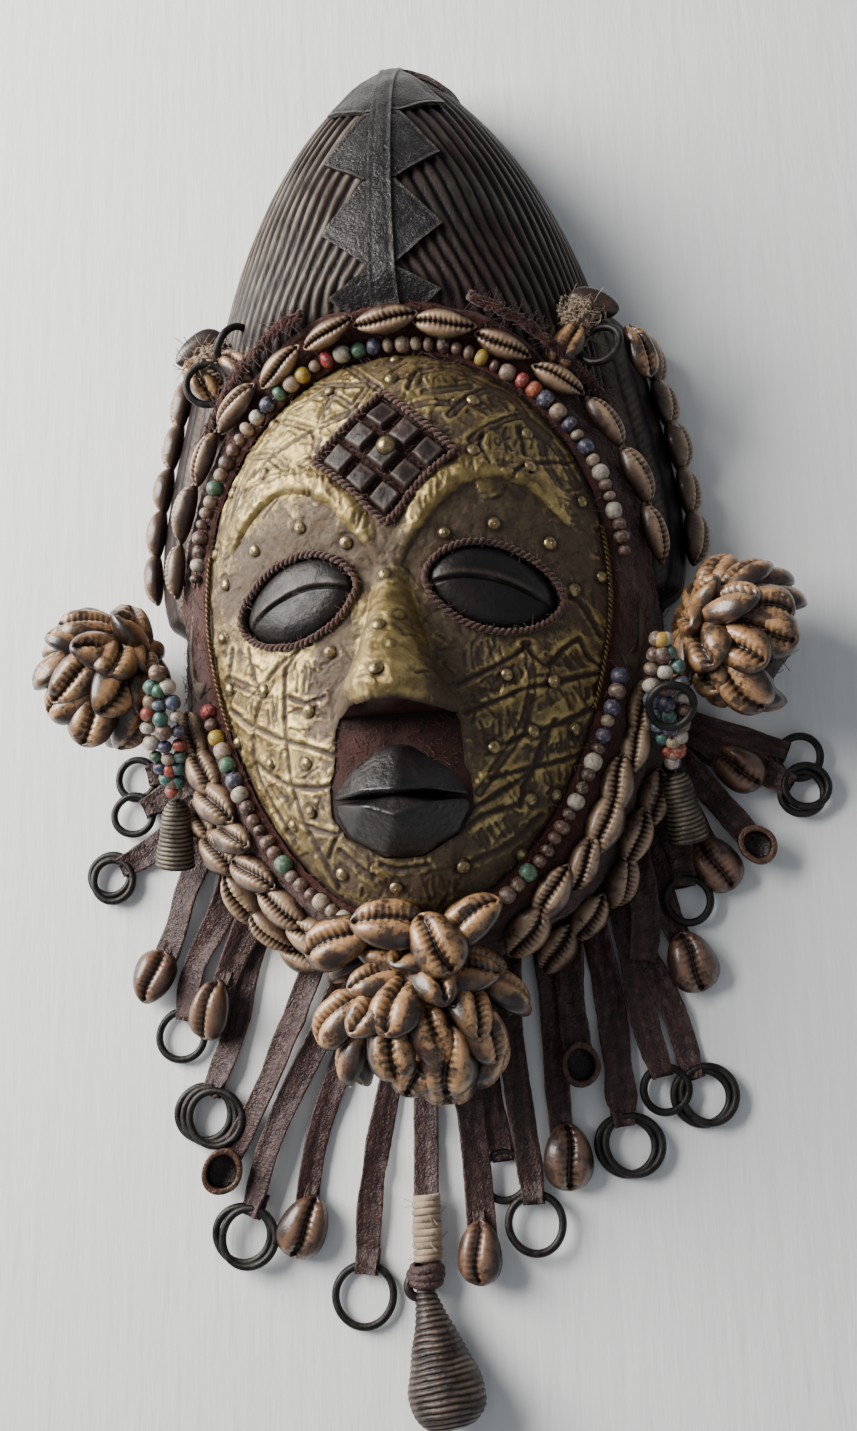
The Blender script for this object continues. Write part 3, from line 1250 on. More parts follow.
def chance(column, row, turn):
    return np.sin(column * 12.9898 + row * 78.233 + turn * 37.719) * 43758.5453 % 1


def nearestDent(x, y, size):
    # the nearest of a field of scattered places size mm apart: the way from it and its random values
    column, row = np.floor(x / size), np.floor(y / size)
    best = [np.full(x.shape, 1e9)] + [np.zeros(x.shape) for _ in range(4)]
    for c in (column - 1, column, column + 1):
        for r in (row - 1, row, row + 1):
            dx, dy = x - (c + chance(c, r, 1)) * size, y - (r + chance(c, r, 2)) * size
            found = [np.hypot(dx, dy), dx, dy, chance(c, r, 3), chance(c, r, 4)]
            closer = found[0] < best[0]
            best = [np.where(closer, new, old) for new, old in zip(found, best)]
    return best


def lineReach(x, y, lines):
    best = np.full(np.shape(x), 1e3)
    for line in lines:
        line = np.asarray(line, dtype=float)
        low = line.min(axis=0) - 4
        high = line.max(axis=0) + 4
        near = (x > low[0]) & (x < high[0]) & (y > low[1]) & (y < high[1])
        px, py, found = x[near], y[near], best[near]
        for start, end in zip(line[:-1], line[1:]):
            found = np.minimum(found, sideReach(px, py, start, end))
        best[near] = found
    return best


tackSet = {
    "radius": 2.45,
    "rise": 1.75,
    "places": [
        (2.5, 94.2), (2.5, 82.0), (-20.6, 80.5), (-45.7, 76.0), (-24.5, 53.6), (-47.0, 52.8), (-63.6, 53.0),
        (-32.3, 28.4), (-52.1, 24.7), (-15.1, 20.2), (-1.1, 6.0), (-66.8, 16.4), (-72.0, 30.5), (31.5, 50.6),
        (49.7, 61.4), (50.5, 46.7), (31.4, 72.2), (67.8, 38.2), (37.2, 25.0), (19.9, 21.4), (56.0, 19.7),
        (63.5, 3.6), (73.5, 10.4), (-69.2, -3.6), (-67.1, -23.3), (-50.8, -27.6), (-23.2, -18.1),
        (-32.2, -38.2), (-65.0, -43.2), (-49.7, -54.3), (-34.1, -56.8), (-33.4, -73.7), (-41.8, -77.1),
        (-23.7, -95.8), (-4.1, -101.7), (-1.7, -16.0), (-1.2, -34.1), (38.6, -29.3), (54.5, -30.5),
        (46.4, -48.8), (60.9, -46.7), (32.9, -55.1), (43.8, -72.2), (52.5, -70.1), (19.5, -95.6),
        (39.0, -90.9),
    ],
    "rings": [(-20.9, 70.9), (-41.7, 60.0), (4.1, -11.1), (2.6, -24.1), (-6.5, -8.0)],
}


def sheetReach(x, y):
    holes = [eyeOutline(side, 1.2) for side in sides.values()] + [mouthOutline(), diamond(1.2)]
    reaches = [eggReach(faceEgg, x, y)] + [-polygonReach(x, y, hole) for hole in holes]
    return np.minimum.reduce(reaches)


def chased(band, cut, short, worked):
    # the relief of the bands, the cuts and the short strokes
    relief = -0.12 * (1 - smooth(1.2, 2.0, band)) - 0.45 * bell(band - brassSet["bandHalf"], 0.4)
    relief = relief + 0.28 * bell(band - 2.2, 0.6)
    relief = relief - brassSet["cut"] * (bell(cut, brassSet["cutWidth"]) - 0.35 * bell(cut - 1.7, 0.7))
    stroke = bell(short, brassSet["fineWidth"]) - 0.4 * bell(short - 1.05, 0.5)
    return relief - brassSet["fine"] * stroke * worked


def pressed(relief, x, y):
    # rings pressed into the sheet, and the sheet drawn in round each tack
    grime, clear = np.zeros_like(x), np.full_like(x, 9.0)
    for cx, cy in tackSet["rings"]:
        off = np.hypot((x - cx) * 1.25, y - cy)
        clear = np.minimum(clear, off)
        relief = relief - 0.5 * bell(off - 2.0, 0.5) + 0.4 * bell(off, 1.2)
        grime = np.maximum(grime, bell(off - 2.0, 0.6))
    aroundTack = np.minimum.reduce([np.hypot(x - cx, y - cy) for cx, cy in tackSet["places"]])
    aroundTack = np.minimum(aroundTack, 9.0)
    relief = relief - 0.3 * bell(aroundTack - 2.7, 0.7)
    return relief, np.maximum(grime, 0.9 * bell(aroundTack - 2.6, 0.7)), clear


def beaten(relief, x, y, place, worked, clear, edge):
    # beaten facets, small dents and creases, and a smoother nose
    _, dx, dy, lean, heave = nearestDent(x + 1.5 * ripple(place, 5), y, brassSet["facet"])
    facet = dx * np.cos(6.28 * lean) + dy * np.sin(6.28 * lean)
    relief = relief + (brassSet["tilt"] * facet + 0.3 * (heave - 0.5)) * worked
    far, _, _, deep, _ = nearestDent(x, y, brassSet["dent"])
    relief = relief - 0.26 * bell(far, 0.85) * (deep - 0.35) * worked
    crease = bell(ripple(place, 3.3), 0.09) + 0.6 * bell(ripple(place + 40, 5.1), 0.06)
    crease = crease * smooth(4, 6.5, clear)
    relief = relief - 0.2 * crease * (0.35 + 0.65 * worked) + 0.22 * ripple(place, 5.5)
    relief = relief - 0.25 * (1 - smooth(0, 1.2, edge))
    onNose = bell(x, 14) * smooth(browRootY + 3, 4, y) * smooth(noseBaseY - 1, noseBaseY + 1, y)
    onNose = onNose * smooth(3.5, 6.5, clear)
    return relief * (1 - 0.25 * onNose) + 0.35 * onNose * ripple(place * (1, 0.45, 1), 2.4), crease


def dulled(relief, x, y, band, eyeArea):
    # where the metal has gone dull
    flanks = smooth(10, 20, np.abs(x)) * smooth(34, 24, np.abs(x)) * bell(y + 26, 26)
    dull = 1.3 * eyeArea + 0.7 * flanks + 0.5 * bell(x, 30) * bell(y - 14, 12)
    dull = dull + 0.22 * (1 - smooth(1, 2, band)) + 0.5 * smooth(0.1, -0.6, relief)
    return dull + 0.22 * smooth(-20, 45, x) + 0.35 * smooth(-60, -100, y)


def rubbedBright(relief, x, y, brow, band, cut, short, worked):
    # where hands have rubbed the metal bright
    ridge = bell(x - 1, 9) * smooth(12, 0, y) * smooth(noseBaseY - 2, noseBaseY + 2, y)
    lips = np.maximum(bell(cut - 2.0, 0.8), 0.8 * bell(band - 2.6, 0.8))
    lips = lips + 0.6 * bell(short - 1.1, 0.5) * worked
    proud = 1.3 * brow + 1.4 * ridge + 0.6 * lips + 1.1 * bell(x + 42, 28) * bell(y - 70, 24)
    return proud + 0.7 * smooth(0.15, 0.6, relief) + 0.5 * bell(x + 50, 22) * bell(y + 30, 40)


def makeBrass():
    box = [-76.5, 76.5, faceEgg["centreY"] - faceEgg["down"] - 1, faceEgg["centreY"] + faceEgg["up"] + 1]
    x, y, faces = clippedGrid(box, brassSet["step"], sheetReach)
    band = lineReach(x, y, [bow(line) for line in bandLines])
    cut = lineReach(x, y, [bow(line) for line in cutLines])
    short = lineReach(x, y, hatchLines())
    edge = sheetReach(x, y)
    place = xyz(x, y, faceSkin(x, y))
    brow = np.clip(browRise(x, y) / browSet["rise"], 0, 1)
    eyeArea = bell(np.abs(x) - 36, 26) * bell(y - eyeY - 12, 17) * (1 - brow)
    worked = 1 - 0.8 * np.clip(eyeArea * 1.3, 0, 1)
    relief, grime, clear = pressed(chased(band, cut, short, worked), x, y)
    relief, crease = beaten(relief, x, y, place, worked, clear, edge)
    dirt = np.maximum.reduce([1.25 * bell(cut, 0.72), 0.8 * bell(band - brassSet["bandHalf"], 0.45),
                              0.8 * bell(short, brassSet["fineWidth"]) * worked, grime, 0.4 * crease,
                              0.8 * (1 - smooth(0, 1.6, edge))])
    dull = dulled(relief, x, y, band, eyeArea)
    proud = rubbedBright(relief, x, y, brow, band, cut, short, worked)
    sheet = Shape()
    points = lifted(faceSkin, place, brassSet["over"] + relief, step=0.7)
    sheet.add(points, [faces], shade=np.clip(dirt, 0, 1), tint=np.clip(dull, 0, 1.2),
              rub=np.clip(proud, 0, 1.7))
    addSkirt(sheet, points, faces, normalOf(faceSkin, place, step=0.7), brassSet["thickness"], shade=0.8)
    makePiece("brass_sheet", sheet, brassLook(), ["brass_face_sheet"])


def makeTacks():
    tacks = Shape()
    for spot in tackSet["places"]:
        addDome(tacks, faceSkin, spot, brassSet["over"] - 0.25, tackSet["radius"], tackSet["rise"])
    addDome(tacks, underSkin, (1.6, 52.3), lozengeSet["rise"] - 0.2, lozengeSet["button"], 2.4, flange=0.25)
    makePiece("domed_tacks", tacks, tackLook(), ["brass_face_sheet"])


def addDome(shape, skin, spot, over, radius, rise, flange=0.0):
    spot = np.array([spot])
    at = lifted(skin, spot, over)[0]
    up = normalOf(skin, spot)[0] + seeds.normal(0, 0.05, 3)
    radius = radius * (0.92 + 0.16 * seeds.random())
    profile = [(radius * (1 + flange), -0.5), (radius * (1 + flange), 0.1)]
    for angle in np.linspace(0.12, np.pi / 2 - 0.05, 7):
        profile.append((radius * np.cos(angle), rise * np.sin(angle)))
    profile.append((radius * 0.2, rise))
    shade = np.clip(1.4 - np.arange(len(profile)) / 2.2, 0, 1)[:, None] * np.ones(20)
    addTube(shape, turnedRings(profile, at, up, 20), shade=shade, tint=seeds.random())


def tackLook():
    look = newMaterial("brass tack heads", specular=0.5)
    spots = cloud(look, 2.4, detail=5, roughness=0.65)
    colour = mixed(look, fromTo(look, spots, 0.35, 0.62), (188, 168, 122), (96, 82, 60))
    colour = shaded(look, colour, (46, 34, 24))
    metal = fromTo(look, spots, 0.35, 0.7, 0.95, 0.6)
    gloss = fromTo(look, spots, 0.3, 0.7, 0.26, 0.5)
    return drive(look, colour=colour, roughness=gloss, metallic=metal,
                 normal=bumped(look, cloud(look, 1.1, detail=4), 0.15))


makeBrass()
makeTacks()
print("brass sheet and tacks made")

# Twisted cords round the eyes and the diamond, and twisted wires at the edge of the sheet.

cordSet = {
    "radius": 1.4, "over": 2.5, "pitch": 4.6, "wireRadius": 0.95, "wirePitch": 4.0, "wireOver": 2.6,
    "wireAngles": (-27, 13),
}


def wireLook(name, dark, light, metal=0.85):
    look = newMaterial(name, specular=0.5)
    patches = cloud(look, 3.5, detail=6, roughness=0.65)
    colour = mixed(look, patches, dark, light)
    colour = shaded(look, colour, (18, 15, 13))
    gloss = fromTo(look, patches, 0.3, 0.7, 0.32, 0.6)
    shine = fromTo(look, cloud(look, 7, detail=4), 0.35, 0.65, metal, metal * 0.5)
    return drive(look, colour=colour, roughness=gloss, metallic=shine,
                 normal=bumped(look, cloud(look, 1.2, detail=5), 0.2))


def addSewnCord(shape, path, fibres, length, hairiness):
    ups = normalOf(faceSkin, path, step=1.5)
    addCord(shape, path, ups, cordSet["radius"], cordSet["pitch"], loop=True, hairiness=hairiness)
    addFibres(shape, path, ups, fibres, length, 0.11)


def makeCords():
    for name, side in sides.items():
        path = lifted(faceSkin, eyeOutline(side, 2.0, 90), cordSet["over"], step=1.5)
        path = path + xyz(*[sway(90, 0.12, 5) for _ in range(3)]) * smooth(0, 8, np.arange(90))[:, None]
        cord = Shape()
        addSewnCord(cord, along(np.concatenate([path, path[:1]]), 0.8)[:-1], 200, 3.0, 0.09)
        makePiece("eye_cord_" + name, cord, cordLook, ["eye_cord_" + name])
    corners = diamond(1.4)
    x, y = np.concatenate([corners, corners[:1]]).T
    spots = along(xyz(x, y, 0), 0.8)[:-1, :2]
    for _ in range(3):
        spots = (np.roll(spots, 1, axis=0) + 2 * spots + np.roll(spots, -1, axis=0)) / 4
    cord = Shape()
    addSewnCord(cord, lifted(faceSkin, spots, cordSet["over"], step=1.5), 260, 3.2, 0.1)
    makePiece("diamond_cord", cord, cordLook, ["lozenge_cord"])
    look = wireLook("twisted brass wire", (62, 46, 33), (132, 104, 66))
    for name, side in sides.items():
        spots = outsideFace(np.radians(np.linspace(*cordSet["wireAngles"], 30)), -0.4) * (side, 1)
        path = along(lifted(faceSkin, spots, cordSet["wireOver"], step=1.5), 0.6)
        wire = Shape()
        addCord(wire, path, normalOf(faceSkin, path, step=1.5), cordSet["wireRadius"], cordSet["wirePitch"])
        makePiece("edge_wire_" + name, wire, look, ["face_edge_wire_" + name])


makeCords()
print("cords and wires made")

# The felt band round the face, with loose fibres.

# waves of the outer edge: size, how many round the face, and where they start
bandSet = {
    "inner": 1.2, "over": 2.35, "fibres": 2700, "fibreLength": 4.0, "fibreRadius": 0.14,
    "waves": ((0.5, 7, 0), (0.6, 17, 1), (0.4, 31, 2)),
}


def bandEdge(angle):
    s = np.sin(angle)
    cheek = (1 - smooth(-0.5, 0.1, s)) * smooth(-0.98, -0.7, s)
    return 20 - 2.5 * smooth(0.5, 0.9, np.abs(np.cos(angle))) + 11 * cheek


def makeBand():
    band = Shape()
    angles = np.linspace(0, 2 * np.pi, 321)[:-1]
    share = np.linspace(0, 1, 28)
    edge = bandEdge(angles)
    wave = sum(size * np.sin(count * angles + start) for size, count, start in bandSet["waves"])
    edge = np.minimum(edge + wave * 0.8, edge + 0.6)
    rings = []
    for k in share:
        spots = outsideFace(angles, bandSet["inner"] + (edge - bandSet["inner"]) * k)
        thick = bandSet["over"] * (1 - 0.75 * smooth(0.93, 1, k)) - 1.1 * smooth(0.06, 0, k)
        rings.append(lifted(restSkin, spots, thick, step=1.5))
    flat = np.concatenate(rings)
    normals = normalOf(restSkin, flat, step=1.5)
    fuzz = seeds.normal(0, 0.16, len(flat)) + 0.4 * ripple(flat, 2.2) + 0.25 * ripple(flat, 5)
    flat = flat + normals * fuzz[:, None]
    flat[:, 2] = np.maximum(flat[:, 2], 0.3)
    faces = gridFaces(len(share), len(angles), wrap=True)[:, ::-1]
    band.add(flat, [faces], shade=0.35 * smooth(0.2, -0.4, fuzz), tint=0.3)
    addFibres(band, flat, normals, bandSet["fibres"], bandSet["fibreLength"], bandSet["fibreRadius"])
    makePiece("felt_band", band, feltLookRed, ["cloth_band"])


makeBand()
print("felt band made")

# Cowries: each lies with its toothed mouth up. One pattern, varied for each shell.

cowrieSet = {"length": 22.0, "width": 12.5, "height": 8.0, "bend": 0.1}
cowrieKinds = {
    "sewn": {
        "teeth": 13, "along": 48, "drawnOut": (1.9, 0.8), "swell": 0.08, "reach": (1.9, 1.5), "slit": 0.6,
        "gap": 1.0, "cut": 0.55, "lips": 0.6, "side": 0.8,
    },
    "hung": {
        "teeth": 11, "along": 38, "drawnOut": (2.3, 0.54), "swell": 0.2, "reach": (1.6, 1.1), "slit": 0.5,
        "gap": 0.75, "cut": 0.45, "lips": 0.85, "side": 0.75,
    },
}


def cowriePattern(kind):
    # rows along the shell of points across its top and under it, with their shade and rub
    even = np.linspace(-0.995, 0.995, kind["along"] + 1)
    u = (0.75 * even - 0.25 * np.cos((even + 1) * np.pi / 2))[:, None]
    power, ease = kind["drawnOut"]
    girth = (1 - np.abs(u) ** power) ** ease * (1 + kind["swell"] * u)
    tall = (1 - np.abs(u) ** 2.4) ** 0.6
    half = np.array([0.06, 0.14, 0.25, 0.4, 0.6, 0.8, 0.94, 1])
    top = np.concatenate([-half[::-1], [0], half])
    below = np.array([0.9, 0.35, -0.35, -0.9])
    width, height = cowrieSet["width"] / 2, cowrieSet["height"]
    line = cowrieSet["bend"] * np.sin(np.pi * u * 0.75 + 0.3)
    across = np.concatenate([top + line * (1 - top ** 2), below + 0 * u], axis=1)
    isTop = np.arange(across.shape[1]) < len(top)
    crown = 0.42 + 0.58 * np.maximum(0, 1 - np.abs(np.clip(across, -1, 1)) ** 2.4) ** 0.6
    belly = 0.42 * height * (1 - 0.96 * np.sqrt(np.maximum(0, 1 - across ** 2))) * tall
    away = np.where(isTop, (across - line) * width * girth, 20)
    ends = smooth(0.97, 0.86, np.abs(u))
    tooth = (0.5 + 0.5 * np.cos(np.pi * kind["teeth"] * u)) ** 0.8
    onLip = bell(np.maximum(0, np.abs(away) - 0.6), np.where(away > 0, *kind["reach"])) * ends
    lip = bell(np.abs(away) - 2.9, 1.9) * ends
    relief = 0.5 * kind["lips"] * lip - (0.8 + kind["slit"]) * bell(away, 1.4) - 1.3 * bell(away, 0.5)
    z = np.where(isTop, height * crown * tall + relief * ends - kind["cut"] * (1 - tooth) * onLip, belly)
    points = xyz(u * cowrieSet["length"] / 2, across * width * girth, z + height * 0.3 * (1 - tall))
    shade = bell(away, kind["slit"]) * ends + kind["gap"] * (1 - tooth) * onLip
    shade = shade + kind["side"] * smooth(0.6, 1.0, np.abs(across)) + 0.3 * (~isTop)
    rub = (0.25 + 0.75 * tooth) * onLip * 0.7 + kind["lips"] * lip
    return points, np.clip(shade, 0, 1), np.clip(rub, 0, 1)


cowriePatterns = {name: cowriePattern(kind) for name, kind in cowrieKinds.items()}


def addCowrie(shape, at, ahead, up, scale=1.0, tint=None, fat=1.0, kind="hung"):
    pattern, shade, rub = cowriePatterns[kind]
    grow = scale * (1 + seeds.uniform(-0.07, 0.07))
    flip = np.where(seeds.random(2) < (0.35, 0.5), -1, 1)
    points = pattern * (grow * flip[0], grow * flip[1] * fat * (1 + seeds.uniform(-0.08, 0.08)),
                        grow * (0.7 + 0.35 * fat) * (1 + seeds.uniform(-0.06, 0.06)))
    rings = placedPoints(points, at, ahead, np.asarray(up) + seeds.normal(0, 0.08, 3))
    addTube(shape, rings, shade=shade, rub=rub, tint=seeds.random() if tint is None else tint)


def shellLook(name, pale, brown, stain, stains, coat):
    # porcelain worn and stained brown, golden on the lips, with dark gaps between the teeth
    look = newMaterial(name, specular=0.5, subsurface=0.05, subsurfaceScale=0.003, coat=coat,
                       coatRoughness=0.18)
    patches = cloud(look, 8, detail=5, roughness=0.6)
    small = cloud(look, 2.2, detail=6, roughness=0.65)
    share = sums(look, "ADD", patches, times(look, marked(look, "tint"), 0.3))
    body = mixed(look, fromTo(look, share, 0.4 - stains * 0.12, 0.8 - stains * 0.24), pale, brown)
    lips = times(look, marked(look, "rub"), fromTo(look, small, 0.34, 0.5, 0.3, 1))
    body = mixed(look, lips, body, pale)
    dark = sums(look, "ADD", times(look, patches, 0.65), times(look, small, 0.35))
    dark = sums(look, "SUBTRACT", dark, times(look, marked(look, "rub"), 0.07))
    body = mixed(look, fromTo(look, dark, 0.62 - stains * 0.22, 0.7 - stains * 0.22, 0, 0.9), body, stain)
    deep = shaded(look, body, (30, 18, 13))
    gloss = fromTo(look, patches, 0.3, 0.7, 0.26, 0.46)
    return drive(look, colour=deep, roughness=gloss, normal=bumped(look, small, 0.22))


rowLook = shellLook("cowries of the band", (186, 156, 124), (92, 64, 50), (48, 32, 26), 0.55, 0.3)
tasselLook = shellLook("cowries of the tassels", (200, 154, 106), (86, 52, 34), (36, 23, 17), 0.85, 0.6)
hungLook = shellLook("cowries of the fringe", (130, 98, 76), (76, 50, 40), (36, 25, 21), 0.7, 0.5)


def spacedAngles(first, last, distance, pitch):
    fine = np.radians(np.linspace(first, last, 241))
    lengths = reachAlong(outsideFace(fine, distance))
    spaces = 2 * round(lengths[-1] / pitch / 2)
    return np.interp(lengths[-1] * np.arange(spaces + 1) / spaces, lengths, fine)


rowSet = {
    "inner": 15.0,
    "outer": 26.0,
    "over": 3.6,
    "rows": {
        "cowrie_row_top": (12, 168, "inner"), "cowrie_row_right": (-68, -24, "inner"),
        "cowrie_row_left": (204, 248, "inner"), "cowrie_outer_right": (-66, -37, "outer"),
        "cowrie_outer_left": (217, 246, "outer"),
    },
    # how far apart the shells lie, how they are turned, how far they lean out, their size and their fatness
    "top": {"pitch": 20.6, "turn": (0.06, 0.06), "lean": 0.15, "size": 1.13, "fat": 0.76},
    "side": {"pitch": 17.5, "turn": (0.32, 0.16), "lean": -0.85, "size": 1.12, "fat": 1.0},
    "wingScale": 1.08,
}


def makeRows():
    for name, (first, last, line) in rowSet["rows"].items():
        row = Shape()
        style = rowSet["top" if name == "cowrie_row_top" else "side"]
        for angle in spacedAngles(first, last, rowSet[line], style["pitch"]):
            spots = outsideFace(np.array([angle, angle + 0.06]), rowSet[line] + seeds.normal(0, 0.4))
            on = lifted(restSkin, spots, rowSet["over"], step=2)
            up = normalOf(restSkin, spots, step=2)[0]
            on[0, 2] = max(on[0, 2], 7.0 if line == "outer" else 3.0)
            ahead = unit(on[1] - on[0])
            turn = seeds.normal(*style["turn"])
            ahead = ahead * math.cos(turn) + np.cross(up, ahead) * math.sin(turn)
            up = unit(up + np.append(unit(spots[0]), 0) * style["lean"])
            addCowrie(row, on[0], ahead, up, style["size"], fat=style["fat"], kind="sewn")
        makePiece(name, row, rowLook, [name])
    for name, side in sides.items():
        edge = Shape()
        for y in np.linspace(112, 36, 5):
            x, after = hermite(wingSet["outline"], y), hermite(wingSet["outline"], y - 4)
            at, ahead = (side * (x + 0.4), y, 9.0), (side * (after - x), -4, 0)
            addCowrie(edge, at, ahead, (side, 0, 0.35), rowSet["wingScale"], tint=1.0, kind="sewn")
        makePiece("cowrie_wing_" + name, edge, rowLook, ["cowrie_wing_" + name])


makeRows()
print("rows of cowries made")

# Trade beads: one string along the band, and three short strands under each ear.

beadSet = {
    "radius": 2.85,
    "spacing": 1.86,
    "thread": 0.45,
    "line": 4.4,
    "over": 4.4,
    # where each row starts and ends, in degrees round the face, and its first place in the order below
    "rows": {"bead_row_top": (6, 174, 0), "bead_row_right": (-78, -20, 78),
             "bead_row_left": (200, 258, 200)},
    "plain": [(112, 92, 78), (86, 62, 54), (136, 116, 96), (66, 46, 40), (158, 140, 118), (96, 70, 58)],
    "bright": [(184, 152, 44), (150, 40, 44), (58, 108, 84), (44, 54, 84), (172, 82, 44), (176, 168, 152)],
    # the row over the forehead from right to left: a bright bead's number,
    # -1 is a plain one and 9 a large plain one
    "order": [
        -1, 9, -1, 5, -1, -1, 5, -1, 3, -1, 3, 9, 3, 4, 1, 9, -1, 0, -1, -1, 9, -1, -1, 9, -1, 3, 2, 5, 1,
        -1, 0, 9, 2, 3, 5, 9, -1, -1, 9, -1, 2, -1, -1,
    ],
    "strung": [
        (44, 98, 66), (66, 84, 104), (190, 152, 56), (156, 62, 44), (48, 104, 98), (190, 182, 166),
        (104, 78, 62), (38, 50, 84),
    ],
}


def addBead(shape, at, ahead, radius, colour):
    radius = radius * seeds.uniform(0.92, 1.08)
    squash = seeds.uniform(0.72, 1.04)
    angle = np.linspace(0.22, np.pi - 0.22, 9)
    radii = radius * np.sin(angle) ** seeds.uniform(0.6, 0.95)
    profile = np.column_stack([radii, -radius * squash * np.cos(angle)])
    profile = np.concatenate([profile[:1] * (0.5, 0.7), profile, profile[-1:] * (0.5, 0.7)])
    rings = turnedRings(profile, at, unit(ahead) + seeds.normal(0, 0.12, 3), 13)
    shade = np.zeros(rings.shape[:2])
    shade[[0, -1]] = 1.0
    addTube(shape, rings, shade=shade, tint=seeds.random(), paint=tone(*colour)[:3])


def addString(shape, path, order, first=0):
    # beads of mixed sizes one after another along a path, on their thread
    fine = along(path, 0.5)
    ways = unit(np.gradient(fine, axis=0))
    step = float(np.linalg.norm(fine[1] - fine[0]))
    at, number = 0.0, first
    while at < step * (len(fine) - 6):
        colour, size = order(number)
        radius = beadSet["radius"] * size
        place = min(len(fine) - 1, int((at + radius) / step))
        addBead(shape, fine[place] + seeds.normal(0, 0.2, 3), ways[place], radius, colour)
        at += radius * beadSet["spacing"]
        number += 1
    thread = tubeRings(fine[::4], upward(fine[::4]), beadSet["thread"], beadSet["thread"], 5)
    addTube(shape, thread, shade=0.6, paint=tone(90, 40, 32)[:3])


def onBand(number):
    kind = beadSet["order"][number % len(beadSet["order"])]
    plain = beadSet["plain"][seeds.integers(0, len(beadSet["plain"]))]
    return (plain, 0.9) if kind < 0 else (plain, 1.14) if kind == 9 else (beadSet["bright"][kind], 1.16)


def onStrand(number):
    colours = beadSet["strung"] * 2 + beadSet["plain"]
    return colours[seeds.integers(0, len(colours))], seeds.uniform(0.95, 1.15)


def beadLook():
    # glass and clay beads, mottled and dull with age, with grime round their holes
    look = newMaterial("trade beads", specular=0.5, coat=0.2, coatRoughness=0.3, subsurface=0.05,
                           subsurfaceScale=0.002)
    worn = cloud(look, 2.2, detail=6, roughness=0.7)
    colour = mixed(look, fromTo(look, worn, 0.44, 0.66, 0, 0.8), marked(look, "paint", "Color"),
                   (84, 62, 52))
    pale = fromTo(look, cloud(look, 1.4, detail=5), 0.52, 0.76, 0, 0.55)
    colour = mixed(look, pale, colour, (206, 192, 172))
    colour = shaded(look, colour, (24, 14, 12))
    gloss = fromTo(look, worn, 0.3, 0.7, 0.24, 0.6)
    return drive(look, colour=colour, roughness=gloss, normal=bumped(look, worn, 0.3))


beadsLook = beadLook()


def makeBeads():
    for name, (first, last, number) in beadSet["rows"].items():
        row = Shape()
        spots = outsideFace(np.radians(np.linspace(first, last, 90)), beadSet["line"])
        path = lifted(restSkin, spots, beadSet["over"], step=1.5)
        addString(row, path, onBand, number)
        makePiece(name, row, beadsLook, [name])
    t = np.linspace(0, 1, 60)
    arch = np.sin(np.pi * t)
    for name, side in sides.items():
        strands = Shape()
        for k in (-1, 0, 1):
            x = side * (94.5 + 2 * t + 5.8 * k * arch)
            path = xyz(x, -14 - 44 * t, 56 - 28 * t + (6 - 2 * abs(k)) * arch)
            addString(strands, path, onStrand)
        makePiece("bead_strands_" + name, strands, beadsLook, ["bead_strands_" + name])


makeBeads()
print("beads strung")

# Leather over the crest: patches, the strap on them, and the strip at the peak.

crestSet = {
    "patches": [
        [[7, 200.4], [23.5, 208], [3, 238]],
        [[6, 165.4], [22.5, 177.5], [7, 199.6]],
        [[5, 128.7], [23, 145], [6, 164.6]],
        [[12, 113.5], [21.5, 119.6], [5, 127.9]],
    ],
    "strap": [[5.4, 116], [4.6, 150], [4, 200], [3.6, 244.5]],
    "strip": [[4, 239.5], [4, 247], [12.5, 243.6], [26, 232.6], [21.5, 227.6], [10, 236.8]],
    "thickness": 0.9,
    "step": 0.8,
}


def leatherLook(name, dark, light, worn, wornShare, gloss, grain, crease):
    # hide with fine grain and creases, and a shine where it is rubbed
    look = newMaterial(name, specular=0.4)
    patches = cloud(look, 12, detail=5, roughness=0.6)
    folds = cloud(look, 2.6, detail=5, roughness=0.62, twist=1.2)
    colour = mixed(look, patches, dark, light)
    colour = mixed(look, times(look, marked(look, "tint"), 0.5), colour, light)
    rub = times(look, marked(look, "rub"), fromTo(look, folds, 0.35, 0.65))
    spots = fromTo(look, folds, 0.66 - wornShare * 0.3, 0.86 - wornShare * 0.3, 0, 0.7)
    colour = mixed(look, sums(look, "MAXIMUM", rub, spots), colour, worn)
    colour = shaded(look, colour, (12, 8, 8))
    shine = fromTo(look, patches, 0.3, 0.7, gloss, gloss + 0.2)
    first = bumped(look, fromTo(look, cells(look, 1.5), 0.0, 0.35), grain)
    return drive(look, colour=colour, roughness=shine, normal=bumped(look, folds, crease, under=first))


crestLook = leatherLook("black crest leather", (13, 12, 13), (38, 35, 35), (84, 78, 74), 0.2, 0.28, 0.1, 0.6)
peakLook = leatherLook("brown leather at the peak", (38, 24, 23), (72, 48, 44), (112, 86, 78), 0.2, 0.36,
                       0.1, 0.5)


